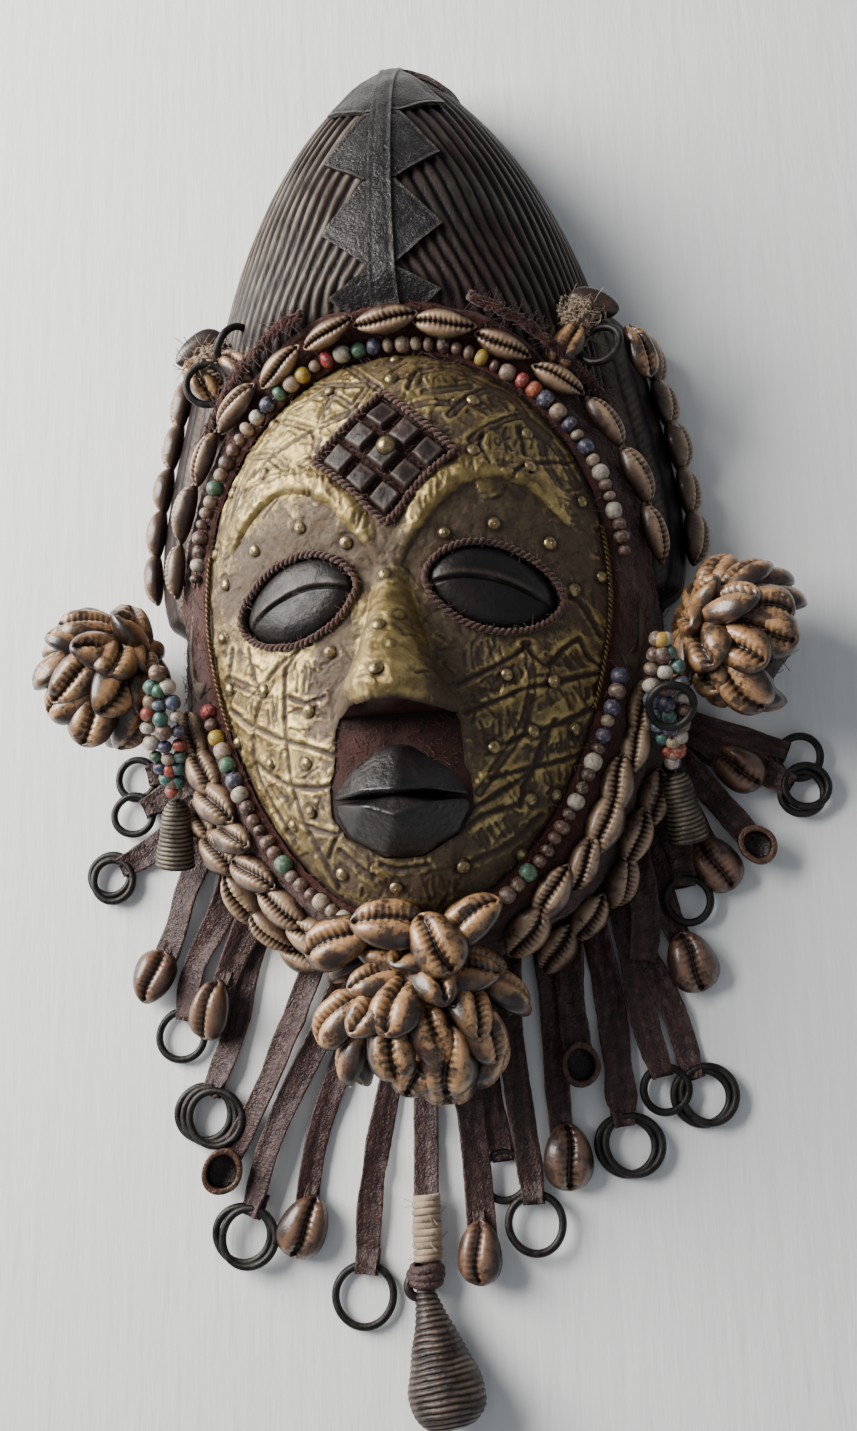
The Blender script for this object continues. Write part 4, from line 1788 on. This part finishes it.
def addHide(shape, outline, over, thickness, curl):
    # a flat cut of leather laid over the lobe; near its steep rim it leans outward from the middle
    outline = np.array(outline, dtype=float)
    x, y, faces = cutGrid(outline, crestSet["step"])
    reach = polygonReach(x, y, outline)
    flat = xyz(x, y, 0)
    rise = over + thickness + curl * (1 - smooth(0, 3.5, reach)) * (0.5 + 0.5 * ripple(flat, 6))
    rise = rise + 0.3 * ripple(flat, 4.1) - 0.3 * bell(reach - 1.8, 0.5)
    z = np.maximum(lobeSkin(x, y), restSkin(x, y) - 3)
    normals = unit(xyz(x, (y - 150) * 0.6, z))
    points = xyz(x, y, z) + normals * rise[:, None]
    shape.add(points, [faces], shade=0.5 * bell(reach - 1.8, 0.55), rub=bell(reach - 0.4, 0.7),
              tint=seeds.random())
    addSkirt(shape, points, faces, normals, thickness + 0.8, shade=0.4, rub=0.2)


def makeCrest():
    def mirrored(right):
        return right + [[-x, y] for x, y in right[::-1]]
    thickness = crestSet["thickness"]
    hides = []
    for i, right in enumerate(crestSet["patches"]):
        name = "crest_patch_" + str(i + 1)
        hides.append((name, name, crestLook, mirrored(right), 0.7, thickness, 0.3))
    hides.append(("crest_strap", "crest_strap", crestLook, mirrored(crestSet["strap"]), 2.0, thickness, 0.1))
    hides.append(("peak_strip", "peak_binding", peakLook, crestSet["strip"], 0.9, thickness + 0.4, 0.3))
    for name, node, look, *cut in hides:
        hide = Shape()
        addHide(hide, *cut)
        makePiece(name, hide, look, [node], sharp=55)


makeCrest()
print("crest leather made")

# Yarn rolls at the foot of the lobe and the tied knots at their outer ends.

yarnSet = {
    "angles": (40, 72), "distance": 24.6, "radius": 2.0, "over": 3.8, "pitch": 8.0, "fibres": 240,
    "ringWire": 1.5,
}
ironLook = wireLook("dark iron", (20, 19, 20), (48, 44, 41), 0.7)
yarnLook = feltLook("tied raffia and yarn", (98, 74, 58), (196, 172, 142), 1.6)
rollLook = feltLook("loose red-brown yarn", (44, 22, 19), (98, 56, 45))


def addRing(shape, centre, normal, radius, wire, tint=0.5):
    around = 56
    angle = circle(around)
    axis = unit(normal)
    wobble = 1 + 0.018 * np.sin(2 * angle + seeds.uniform(0, 6))
    wobble = wobble + 0.01 * np.sin(3 * angle + seeds.uniform(0, 6))
    path = np.asarray(centre) + spokes(axis, (0.3, 1, 0.2), around) * ((radius - wire) * wobble)[:, None]
    rings = tubeRings(path, np.tile(axis, (around, 1)), wire, wire, 10, loop=True)
    addTube(shape, rings, capped=False, tint=tint)


# what each knot carries, as places of its left or right: rings with the way they face and their radius,
# and shells with the way they point and the way their mouths face
knotSet = {
    "left": {
        "wrap": (-74, 111, 47), "long": (0.85, 0.5, 0),
        "rings": [((-76, 101, 52), (0.1, -0.25, 1), 9.6), ((-65, 116, 53), (0.75, -0.6, 0.35), 9.2)],
        "shells": [((-63, 106, 50), (0.8, -0.6, 0), (0.2, 0, 1)),
                   ((-79, 106, 42), (0.5, -0.9, 0), (-0.2, 0, 1)),
                   ((-82, 121, 44), (0.9, 0.5, 0), (0, 0.3, -1))],
    },
    "right": {
        "wrap": (71, 115, 48), "long": (0.8, -0.4, 0),
        "rings": [((78, 104, 50), (0.15, -0.1, 1), 9.4), ((79, 102, 52), (-0.3, 0.2, 1), 9.4)],
        "shells": [((66, 103, 49), (-0.5, -0.9, 0), (0.1, -0.2, 1)),
                   ((77, 121, 49), (1, -0.35, 0), (0, 0.4, -1)),
                   ((92, 103, 38), (0.35, -0.9, -0.2), (0.6, 0.1, 0.8))],
    },
}


knotLump = {
    "size": (11.0, 6.8, 6.6), "wraps": 11, "tilt": 0.55, "cord": 1.25, "cordPitch": 4.5, "fibres": 130,
}


def addWraps(shape, at, lengthways, size):
    # each wrap is a tilted loop round the lump
    crossways = np.cross((0, 0, 1), lengthways)
    for _ in range(knotLump["wraps"]):
        tilt = unit(lengthways + seeds.normal(0, knotLump["tilt"], 3))
        ray = spokes(tilt, (0, 0, 1), 40)
        local = xyz(ray @ lengthways, ray @ crossways, ray[:, 2])
        reach = 1 / np.linalg.norm(local / size, axis=1)
        path = at + ray * reach[:, None] + tilt * seeds.uniform(-4, 4)
        addCord(shape, path, ray, knotLump["cord"], knotLump["cordPitch"], loop=True, hairiness=0.08,
                around=5)


def addKnot(shape, style):
    at, lengthways = np.array(style["wrap"], dtype=float), unit(style["long"])
    size = np.array(knotLump["size"])
    lump = np.linspace(0.1, 3.04, 14)
    core = np.column_stack([6 * np.sin(lump), -10.4 * np.cos(lump)])
    addTube(shape, turnedRings(core, at, lengthways, 20), shade=0.4)
    addWraps(shape, at, lengthways, size)
    roots = at + unit(seeds.normal(0, 1, (120, 3))) * size
    addFibres(shape, roots, unit(roots - at), knotLump["fibres"], 7.0, 0.16)


def makeYarn():
    for name, side in sides.items():
        angles = spacedAngles(*yarnSet["angles"], yarnSet["distance"], 2.0)
        spots = outsideFace(angles, yarnSet["distance"]) * (side, 1)
        path = rounded(lifted(restSkin, spots, yarnSet["over"], step=2), 1.0)
        path[:, 1] += 0.5 * sway(len(path), 1, 5)
        ups = normalOf(restSkin, path, step=2)
        roll, knot, shells, rings = [Shape() for _ in range(4)]
        addCord(roll, path, ups, yarnSet["radius"], yarnSet["pitch"], strands=4, hairiness=0.3, around=8)
        addFibres(roll, path + ups * 1.4, ups, yarnSet["fibres"], 4.0, 0.14)
        makePiece("yarn_roll_" + name, roll, rollLook, ["yarn_roll_" + name])
        style = knotSet[name]
        addKnot(knot, style)
        for place, ahead, up in style["shells"]:
            addCowrie(shells, place, ahead, up)
        for place, facing, radius in style["rings"]:
            addRing(rings, place, facing, radius, yarnSet["ringWire"])
        makePiece("knot_raffia_" + name, knot, yarnLook, ["knot_" + name])
        makePiece("knot_shells_" + name, shells, tasselLook, ["knot_" + name])
        makePiece("knot_rings_" + name, rings, ironLook, ["knot_" + name])


makeYarn()
print("yarn tied")

# Tassels: shells that lie over each other like petals, mouths out, round a core of yarn.

tasselSet = {
    "ear_tassel_left": {
        "centre": (-124, -11, 33), "radii": (28, 33, 29), "count": 27, "pole": (0.8, 0.5, 0.2), "stand": 0.8,
        "lift": 0.35, "extra": [],
    },
    "ear_tassel_right": {
        "centre": (124, -11, 33), "radii": (28, 33, 29), "count": 27, "pole": (-0.85, 0.25, 0.2),
        "stand": 0.8, "lift": 0.35, "extra": [],
    },
    "chin_tassel": {
        "centre": (-1, -146, 38), "radii": (42, 35, 31), "count": 33, "pole": (0.1, 0.85, 0.5),
        "stand": 0.6, "lift": 0.0,
        "extra": [
            ((-9, -117, 57), (-1, 0.12, 0.1), (0.1, 0.5, 1)),
            ((23, -115.5, 56), (0.8, 0.5, 0.1), (0, 0.5, 1)),
            ((10, -123, 60), (0.5, -0.8, 0.1), (0.1, 0, 1)),
            ((-27, -121, 50), (-0.9, -0.35, 0), (0, 0.4, 1)),
        ],
    },
}


petalSet = {
    "top": 0.94, "span": 1.68, "turn": 0.7, "sink": 13.5, "size": (1.08, 1.24), "fat": 1.3, "core": 0.66,
}


def addTasselCore(shape, centre, radii):
    rows = [(math.sin(a), -math.cos(a)) for a in np.linspace(0.08, np.pi - 0.08, 14)]
    ball = centre + turnedRings(rows, (0, 0, 0), (0, 0, 1), 26) * radii * petalSet["core"]
    ball = ball + unit(ball - centre) * (ripple(ball, 3) * 0.8)[..., None]
    addTube(shape, ball, shade=0.55)
    roots = ball.reshape(-1, 3)
    addFibres(shape, roots, unit(roots - centre), 300, 6.0, 0.16)


def addPetals(shape, centre, radii, style):
    # the shells stand on a spiral that starts at the pole, and lean away from it
    pole = unit(style["pole"])
    first = unit(np.cross(pole, (0, 1, 0.3)))
    second = np.cross(pole, first)
    for i in range(style["count"]):
        rise = petalSet["top"] - petalSet["span"] * (i + 0.3) / style["count"]
        turn = i * math.pi * (3 - math.sqrt(5)) + petalSet["turn"]
        flat = math.sqrt(max(0, 1 - rise ** 2))
        out = unit(first * flat * math.cos(turn) + second * flat * math.sin(turn) + pole * rise
                   + seeds.normal(0, 0.07, 3))
        away = unit(out * (out @ pole) - pole)
        ahead = away * 0.75 + out * (style["stand"] + seeds.uniform(-0.2, 0.2))
        ahead = unit(ahead + seeds.normal(0, 0.18, 3))
        up = unit(out - away * 0.6 + np.cross(out, away) * seeds.normal(0, 0.4) + (0, 0, style["lift"]))
        reach = 1 / np.linalg.norm(out / radii)
        at = centre + out * (reach - petalSet["sink"])
        addCowrie(shape, at, ahead, up, seeds.uniform(*petalSet["size"]), fat=petalSet["fat"])


def makeTassels():
    for name, style in tasselSet.items():
        centre, radii = np.array(style["centre"], dtype=float), np.array(style["radii"], dtype=float)
        core, shells = Shape(), Shape()
        addTasselCore(core, centre, radii)
        addPetals(shells, centre, radii, style)
        for at, ahead, up in style["extra"]:
            addCowrie(shells, at, ahead, up, 1.16, fat=petalSet["fat"])
        makePiece(name + "_core", core, feltLookRed, [name])
        makePiece(name, shells, tasselLook, [name])
    ring = Shape()
    addRing(ring, (96.5, -40.4, 50.6), (0.05, -0.54, 0.84), 9.6, yarnSet["ringWire"])
    makePiece("ring_on_strands", ring, ironLook, ["bead_strands_right"])


makeTassels()
print("tassels made")

# Bells: ribbed cones at the ears and the pear-shaped one on the middle strap.

bellSet = {
    "cone": [[1.2, 1.5], [3.2, 1], [5, -1.5], [6, -6], [6.6, -12], [7.2, -18], [7.8, -25]],
    "pear": [
        [2.4, 5], [3.6, 7], [4.8, 11], [6.2, 16], [8.2, 22], [10.6, 29], [13, 36], [14.2, 42], [13.4, 48.6],
        [9, 53.4], [5, 54.6],
    ],
    "coneRib": 1.75,
    "pearRib": 2.2,
}


def bellLook(name, dark, light, pale, metal):
    look = newMaterial(name, specular=0.5)
    patches = cloud(look, 5, detail=6, roughness=0.62)
    colour = mixed(look, patches, dark, light)
    rub = times(look, marked(look, "rub"), fromTo(look, cloud(look, 9), 0.35, 0.6))
    colour = mixed(look, rub, colour, pale)
    colour = shaded(look, colour, (10, 8, 8))
    return drive(look, colour=colour, roughness=fromTo(look, patches, 0.3, 0.7, 0.36, 0.6),
                 metallic=fromTo(look, patches, 0.3, 0.7, metal, metal * 0.5),
                 normal=bumped(look, cloud(look, 1.6, detail=6), 0.35))


def addBell(shape, profile, rib, at, axis, depth=0.55, wander=0.1, mouth=False):
    # a cast bell with ridges wound round it; wander is how far they stray
    axis = unit(axis)
    lengths = reachAlong(profile)
    fine = np.linspace(0, lengths[-1], int(lengths[-1] / 0.3))
    table = smoothTable(lengths, profile, fine)
    around = 44
    turn = np.arange(around) / around
    ends = smooth(0, 2, fine)[:, None] * smooth(0, 1, lengths[-1] - fine)[:, None]
    rings = turnedRings(table, at, axis, around)
    stray = ripple(rings, 9) + 0.5 * ripple(rings, 4)
    crown = np.abs(np.sin(np.pi * (fine[:, None] / rib + turn[None] + wander * stray))) ** 0.6
    depths = depth * (1 + 0.5 * ripple(rings, 6))
    spine = at + axis * table[:, 1:]
    spoke = unit(rings - spine[:, None])
    uneven = (0.2 + wander * 0.6) * ripple(rings, 5)
    rings = rings - spoke * (depths * (1 - crown) * ends - uneven)[..., None]
    shade = (1 - crown) ** 1.2 * ends
    rub = crown ** 3 * ends
    if mouth:
        dark = [spine[-1] + (rings[-1:] - spine[-1]) * share + axis * deep
                for share, deep in ((0.78, 0.2), (0.7, 2.4), (0.1, 2.6))]
        rings = np.concatenate([rings] + dark)
        shade = np.concatenate([shade, np.array([[0.2], [0.9], [1.0]]) * np.ones((3, around))])
        rub = np.concatenate([rub, np.zeros((3, around))])
    addTube(shape, rings, shade=shade, rub=rub)


def makeBells():
    coneLook = bellLook("dull bronze", (36, 31, 28), (76, 66, 55), (136, 124, 106), 0.6)
    pearLook = bellLook("blackened bronze", (22, 17, 16), (48, 36, 33), (112, 94, 84), 0.35)
    for name, side in sides.items():
        cone = Shape()
        top = np.array([side * 97.0, -62.0, 25.0])
        axis = (-side * 0.16, 1, 0.42)
        addBell(cone, bellSet["cone"], bellSet["coneRib"], top, axis, depth=0.45, mouth=True)
        addRing(cone, top + unit(axis) * 2.6, (1, 0.2, 0), 2.6, 0.7)
        makePiece("ear_bell_" + name, cone, coneLook, ["ear_bell_" + name])
    pear = Shape()
    addBell(pear, bellSet["pear"], bellSet["pearRib"], (-8.4, -240.0, 6.8), (0.21, -1, 0.1), depth=0.75,
            wander=0.26)
    # the eye at its top, cast a little to one side
    addRing(pear, (-9.6, -245.0, 7.4), (0.25, 0.1, 1), 5.6, 1.7)
    keepAbove(pear, 0.25)
    makePiece("pear_bell", pear, pearLook, ["pear_bell"])


makeBells()
print("bells made")

# The fringe: wrinkled leather straps from under the rim, each ending in iron rings, a cowrie or a cut
# nut shell. Each strap: angle of its root below the X axis, x and y of what it ends in, layer, what that
# is, how many and their radius.

strapSet = {
    "width": 11.0,
    "thickness": 1.5,
    "wrinkle": 0.16,
    "roll": 0.32,
    "floorGap": 0.2,
    "layerStep": 2.9,
    "fringe": {
        "left_1": [[168, -121, -47, 0, "ring", 1, 9.5], [165, -122, -62, 0.5, "ring", 1, 9.5]],
        "left_2": [[160, -132, -86, 0, "ring", 2, 9.8]],
        "left_3": [[155, -113, -128, 0, "shell"]],
        "left_4": [[146, -102, -151, 0, "ring", 1, 10.8]],
        "left_5": [[133, -93, -181, 0, "ring", 3, 12]],
        "left_6": [[139, -87, -141, 1, "shell"]],
        "left_7": [[118, -85, -202, 1, "nut", 1, 9]],
        "left_8": [[110, -77, -226, 1, "ring", 2, 12]],
        "left_9": [[106, -54, -223, 0, "shell"]],
        "left_10": [[98, -31, -249, 0, "ring", 1, 12.6]],
        "right_1": [[87, 15, -234, 1, "shell"]],
        "right_2": [[81, 24, -207, 0, "ring", 1, 10.3]],
        "right_3": [[72, 35, -224, 1, "ring", 1, 11.8]],
        "right_4": [[64, 47, -200, 0, "shell"]],
        "right_5": [[56, 54, -167, 1, "nut", 1, 8.5]],
        "right_6": [[51, 70, -197, 0, "ring", 2, 12]],
        "right_7": [[41, 99, -180, 0, "ring", 2, 11.6], [43, 86, -177, 0.6, "ring", 1, 9.8],
                    [34, 80, -129, 1.1, "bare"]],
        "right_8": [[29, 98, -130, 0, "shell"]],
        "right_9": [[21, 99, -107, 1, "ring", 1, 9.9]],
        "right_10": [[18, 111, -93, 0, "shell"]],
        "right_11": [[9, 122, -57, 0, "shell"], [8, 145, -54, 0.5, "ring", 1, 9.6],
                     [9, 145, -68, 0.6, "ring", 2, 9.6]],
        "right_12": [[14, 126, -88, 1.3, "nut", 1, 8]],
    },
}
strapLook = leatherLook("wrinkled purple-brown straps", (30, 19, 19), (68, 43, 41), (118, 90, 84), 0.22,
                        0.36, 0.16, 0.6)
nutLook = leatherLook("cut nut shells", (32, 20, 16), (60, 37, 27), (106, 74, 53), 0.22, 0.26, 0.1, 0.5)


def addRibbon(shape, path, widths, thickness, curl=0.5, roll=0.0):
    # a leather ribbon along a path, with eased edges and long creases that wander across it
    count = len(path)
    lean = roll * np.sin(np.linspace(0, 1, count) * 4 + seeds.uniform(0, 6))
    path = path + xyz(0, 0, np.abs(np.sin(lean)) * widths * 0.4)
    side, up = frameAlong(path, xyz(np.sin(lean), 0, np.cos(lean)))
    half = np.array([0.17, 0.34, 0.5, 0.66, 0.82, 0.95, 1])
    top = np.concatenate([-half[::-1], [0], half])
    across = np.concatenate([top, [0.93, 0.4, -0.4, -0.93]])
    upper = np.concatenate([1.0 - 0.5 * (np.abs(top) > 0.97), [0.08, 0, 0, 0.08]])

    def drift(size, spread):
        return sway(count, size, spread)[:, None]
    bend = curl * across ** 2 * (0.5 + 0.5 * drift(1, 12)) + np.abs(across * drift(0.6, 14))
    lengthways = np.sin(across * 5.5 + drift(1.6, 14)) + 0.7 * np.sin(across * 11 + drift(2, 10))
    cross = np.sin(np.arange(count)[:, None] * 1.3 + drift(1.4, 9)) * (0.5 + 0.5 * np.cos(across * 2.2 + 1))
    creases = 0.5 * lengthways + 0.4 * cross + seeds.normal(0, 0.35, (count, len(across)))
    creases = (upper > 0.4) * creases * strapSet["wrinkle"]
    edge = 1 + (np.abs(across) > 0.9) * seeds.normal(0, 0.012, (count, len(across)))
    width = np.broadcast_to(widths, count)[:, None] / 2
    rings = path[:, None] + side[:, None] * (across * width * edge)[..., None]
    rings = rings + up[:, None] * (upper * thickness + bend + creases)[..., None]
    rings[..., 2] = np.maximum(rings[..., 2], strapSet["floorGap"])
    shade = np.clip(-creases / strapSet["wrinkle"] * 0.6 - 0.1, 0, 1)
    rub = ((np.abs(across) > 0.9) & (upper > 0.4)) * 0.5 + np.clip(creases / strapSet["wrinkle"] * 0.5, 0, 1)
    addTube(shape, rings[:, ::-1], shade=shade[:, ::-1], rub=np.clip(rub, 0, 1)[:, ::-1],
            tint=seeds.random())


def addPod(shape, at, radius, ahead):
    # half a nut shell, cut open: a thick glossy rim round a dark hollow
    wall = radius - 2.3
    profile = [(0.6, 0.2), (radius * 0.5, 0.25), (radius * 0.82, radius * 0.22),
               (radius * 0.98, radius * 0.55),
               (radius, radius * 0.82), (radius - 0.4, radius * 0.95), (wall, radius * 0.93),
               (wall - 0.3, radius * 0.75), (radius * 0.7, radius * 0.4), (radius * 0.4, radius * 0.24),
               (0.5, radius * 0.2)]
    fine = np.linspace(0, len(profile) - 1, 36)
    profile = smoothTable(np.arange(len(profile)), profile, fine)
    rings = turnedRings(profile, (0, 0, 0), (0, 0, 1), 36) * (1, 0.84, 1)
    rings = rings + 0.35 * ripple(rings, 5)[..., None] * (1, 1, 0.4)
    rings = placedPoints(rings, at, ahead, (0.15, -0.1, 1))
    rings[..., 2] = np.maximum(rings[..., 2], strapSet["floorGap"])
    row = np.ones(36)
    addTube(shape, rings, shade=(smooth(6.2, 8, fine) * 0.65)[:, None] * row,
            rub=bell(fine - 5, 1.1)[:, None] * row, tint=seeds.random())


def hungPath(start, tip, sideways, low):
    # the way a strap lies, a little bowed and waved
    straight = np.linalg.norm(tip - start)
    t = np.linspace(0, 1, max(12, int(straight / 1.4)))
    bend = seeds.uniform(-1, 1) * min(3.4, straight * 0.04)
    twist = seeds.uniform(-2, 2) * smooth(20, 60, straight)
    path = start + (tip - start) * t[:, None]
    path = path + sideways * (bend * np.sin(np.pi * t) + twist * np.sin(2 * np.pi * t))[:, None]
    hump = 0.5 + 0.5 * np.sin(np.pi * t * 2.5 + seeds.uniform(0, 6))
    path[:, 2] = low + 0.9 * hump * smooth(0, 0.2, t) * smooth(1, 0.8, t)
    widths = strapSet["width"] * seeds.uniform(0.86, 1.12) * (1 - 0.1 * t + 0.05 * sway(len(t), 1, 12))
    return path, widths, (1 - t) * straight


def addHungRings(pieces, end, tip, ahead, sideways, count, radius):
    # rings stacked on each other, and the end of the strap turned back under them
    wire, low = yarnSet["ringWire"], end[2]
    for k in range(count):
        centre = end - sideways * 2.8 * k + (0, 0, wire + 0.55 + 1.4 * k)
        addRing(pieces["rings"], centre, seeds.normal(0, 0.02, 3) + (0, 0, 1), radius, wire,
                tint=seeds.random())
    back = np.stack([tip + ahead * 1.0, tip - ahead * 2.5, tip - ahead * 9.0])
    back[:, 2] = low + np.array([0.5, 0.0, 0.0])
    addRibbon(pieces["straps"], rounded(back, 1.0, 1), strapSet["width"] * 0.76, 0.9, curl=0.1)


def addHungShell(pieces, end, ahead):
    # one shell, and the neck of the strap that goes up into it
    way, up = seeds.normal(0, 0.12, 3) + ahead, (seeds.normal(0, 0.25), 0, 1)
    addCowrie(pieces["shells"], end + (0, 0, 1.2), way, up, 1.08, fat=1.3)
    neck = np.stack([end - ahead * 15, end - ahead * 9.5, end - ahead * 5.0])
    neck = neck + ((0, 0, 1.5), (0, 0, 3.2), (0, 0, 5.6))
    addRibbon(pieces["straps"], rounded(neck, 1.0, 1), 4.5, 0.9, curl=0.1)


def addHungItem(pieces, style):
    angle, x, y, layer, kind = style[:5]
    count, radius = (style[5:] + [1, 11])[:2]
    low = strapSet["floorGap"] + layer * strapSet["layerStep"]
    root = np.append(eggPoint(rimEgg, np.array(math.radians(-angle))), low)
    end = np.array([x, y, low])
    ahead = unit(end - root)
    sideways = np.array([ahead[1], -ahead[0], 0.0])
    ringShort = radius - 2 * yarnSet["ringWire"] - 1.2
    tip = end - ahead * {"ring": ringShort, "shell": 1.0, "nut": 3.0, "bare": 0.0}[kind]
    path, widths, left = hungPath(root - ahead * 5.0, tip, sideways, low)
    if kind == "ring":
        # the strap rises over the wire
        path[:, 2] += bell(left - 1.6, 3.4) * 1.9
        widths = widths * (1 - 0.16 * bell(left, 6))
        addHungRings(pieces, end, tip, ahead, sideways, count, radius)
    elif kind == "shell":
        addHungShell(pieces, end, ahead)
    elif kind == "nut":
        addPod(pieces["pods"], end, radius, ahead)
    addRibbon(pieces["straps"], path, widths, strapSet["thickness"], roll=strapSet["roll"])


def makeFringe():
    looks = {"straps": (strapLook, "strap_leather"), "rings": (ironLook, "bronze"),
             "shells": (hungLook, "tassel_shell"), "pods": (nutLook, "strap_leather")}
    for name, straps in strapSet["fringe"].items():
        pieces = {kind: Shape() for kind in looks}
        for style in straps:
            addHungItem(pieces, style)
        for kind, shape in pieces.items():
            if shape.count:
                look, slot = looks[kind]
                makePiece("fringe_" + name + "_" + kind, shape, look, ["fringe_" + name])


makeFringe()
print("fringe hung")

# The middle strap and its whipping.

whippingSet = {"top": (-6.0, -213.2, 5.4), "length": 24.0, "radius": 4.5, "strand": 1.35, "turns": 10}


def addStrap(shape):
    root = np.append(eggPoint(rimEgg, np.array(math.radians(-92))), 3.0)
    spots = [root + (0, 6, 0), (-4.0, -150, 1.4), (-5.4, -180, 0.4), (-6, -206, 1.6), (-6, -217, 4.4)]
    addRibbon(shape, rounded(spots, 1.1, 6), 9.6, strapSet["thickness"], curl=0.6)
    # below the whipping the leather is doubled over the eye of the bell
    angle = circle(30)
    ray = xyz(np.cos(angle), 0, np.sin(angle))
    for k, (x, y, radius) in enumerate([(-6.4, -239.2, 5.4), (-6.9, -241.6, 6.0), (-7.2, -244.0, 5.6)]):
        path = xyz(x + radius * np.cos(angle), y + 0.6 * np.sin(2 * angle + k), 5.9 + 4.6 * np.sin(angle))
        rings = tubeRings(path, ray, 1.9, 1.5, 8, loop=True)
        rings[..., 2] = np.maximum(rings[..., 2], strapSet["floorGap"])
        addTube(shape, rings, capped=False, rub=0.3, tint=0.1)


def addWhipping(shape):
    top = np.array(whippingSet["top"])
    t = np.linspace(0, 1, 330)
    angle = 2 * np.pi * whippingSet["turns"] * t
    swell = whippingSet["radius"] * (0.95 + 0.08 * np.sin(np.pi * t) + 0.07 * sway(330, 1, 14))
    down = whippingSet["length"] * (t + 0.012 * sway(330, 1, 16))
    path = top + xyz(np.cos(angle) * swell, -down, np.sin(angle) * swell * 0.9)
    ray = xyz(np.cos(angle), 0, np.sin(angle))
    rings = tubeRings(path, ray, whippingSet["strand"], whippingSet["strand"] * 0.8, 7)
    addTube(shape, rings, shade=0.2 * np.abs(sway(330, 1, 6))[:, None] * np.ones(7), tint=0.5)
    addTube(shape, turnedRings([(3.2, 0), (4.0, 2), (4.0, 21), (3.0, 24)], top, (0, -1, 0), 20), shade=0.3)
    addFibres(shape, path[::4], ray[::4], 60, 4.0, 0.14)
    keepAbove(shape, 0.25)


def makeMiddle():
    strap, whipping = Shape(), Shape()
    addStrap(strap)
    makePiece("centre_strap", strap, strapLook, ["centre_strap"])
    addWhipping(whipping)
    look = feltLook("wound raffia", (150, 128, 104), (212, 194, 166), 3.2)
    makePiece("raffia_whipping", whipping, look, ["raffia_whipping"])


makeMiddle()
print("middle strap made")

# Floor and light

stageSet = {"floor": 2.4, "key": 51.0, "fill": 1.9, "air": 0.3}


def makeStage():
    half = stageSet["floor"]
    steps = 24
    x, y = np.meshgrid(np.linspace(-half, half, steps), np.linspace(-half, half, steps))
    points = np.stack([x, y, 0 * x - 0.0004], axis=-1).reshape(-1, 3)
    mesh = bpy.data.meshes.new("floor")
    mesh.from_pydata(points.tolist(), [], gridFaces(steps, steps).tolist())
    look = newMaterial("pale floor", roughness=0.7)
    drive(look, colour=mixed(look, cloud(look, 60, detail=6), (236, 238, 238), (244, 245, 244)),
          normal=bumped(look, cloud(look, 6, detail=6, stretch=(1, 0.12, 1)), 0.5))
    mesh.materials.append(look)
    floor = bpy.data.objects.new("floor", mesh)
    bpy.context.scene.collection.objects.link(floor)


def makeLight(name, place, aim, size, power, colour):
    data = bpy.data.lights.new(name, "AREA")
    data.shape = "RECTANGLE"
    data.size, data.size_y = size
    data.energy = power
    data.color = colour
    light = bpy.data.objects.new(name, data)
    bpy.context.scene.collection.objects.link(light)
    back = unit(np.array(place) - np.array(aim))
    right = unit(np.cross((0, 0, 1), back))
    turn = Matrix(np.stack([right, np.cross(back, right), back], axis=1).tolist()).to_4x4()
    light.matrix_world = Matrix.Translation(place) @ turn


makeStage()
makeLight("window", (-1.0, 0.45, 0.66), (0, 0.05, 0.05), (0.9, 1.0), stageSet["key"], (1.0, 0.97, 0.93))
makeLight("room", (0.9, -0.9, 1.3), (0, 0, 0.05), (1.4, 1.4), stageSet["fill"], (0.92, 0.95, 1.0))
world = bpy.data.worlds.new("air")
world.use_nodes = True
background = world.node_tree.nodes["Background"].inputs
background["Color"].default_value = (0.78, 0.82, 0.88, 1)
background["Strength"].default_value = stageSet["air"]
bpy.context.scene.world = world
print("stage lit")
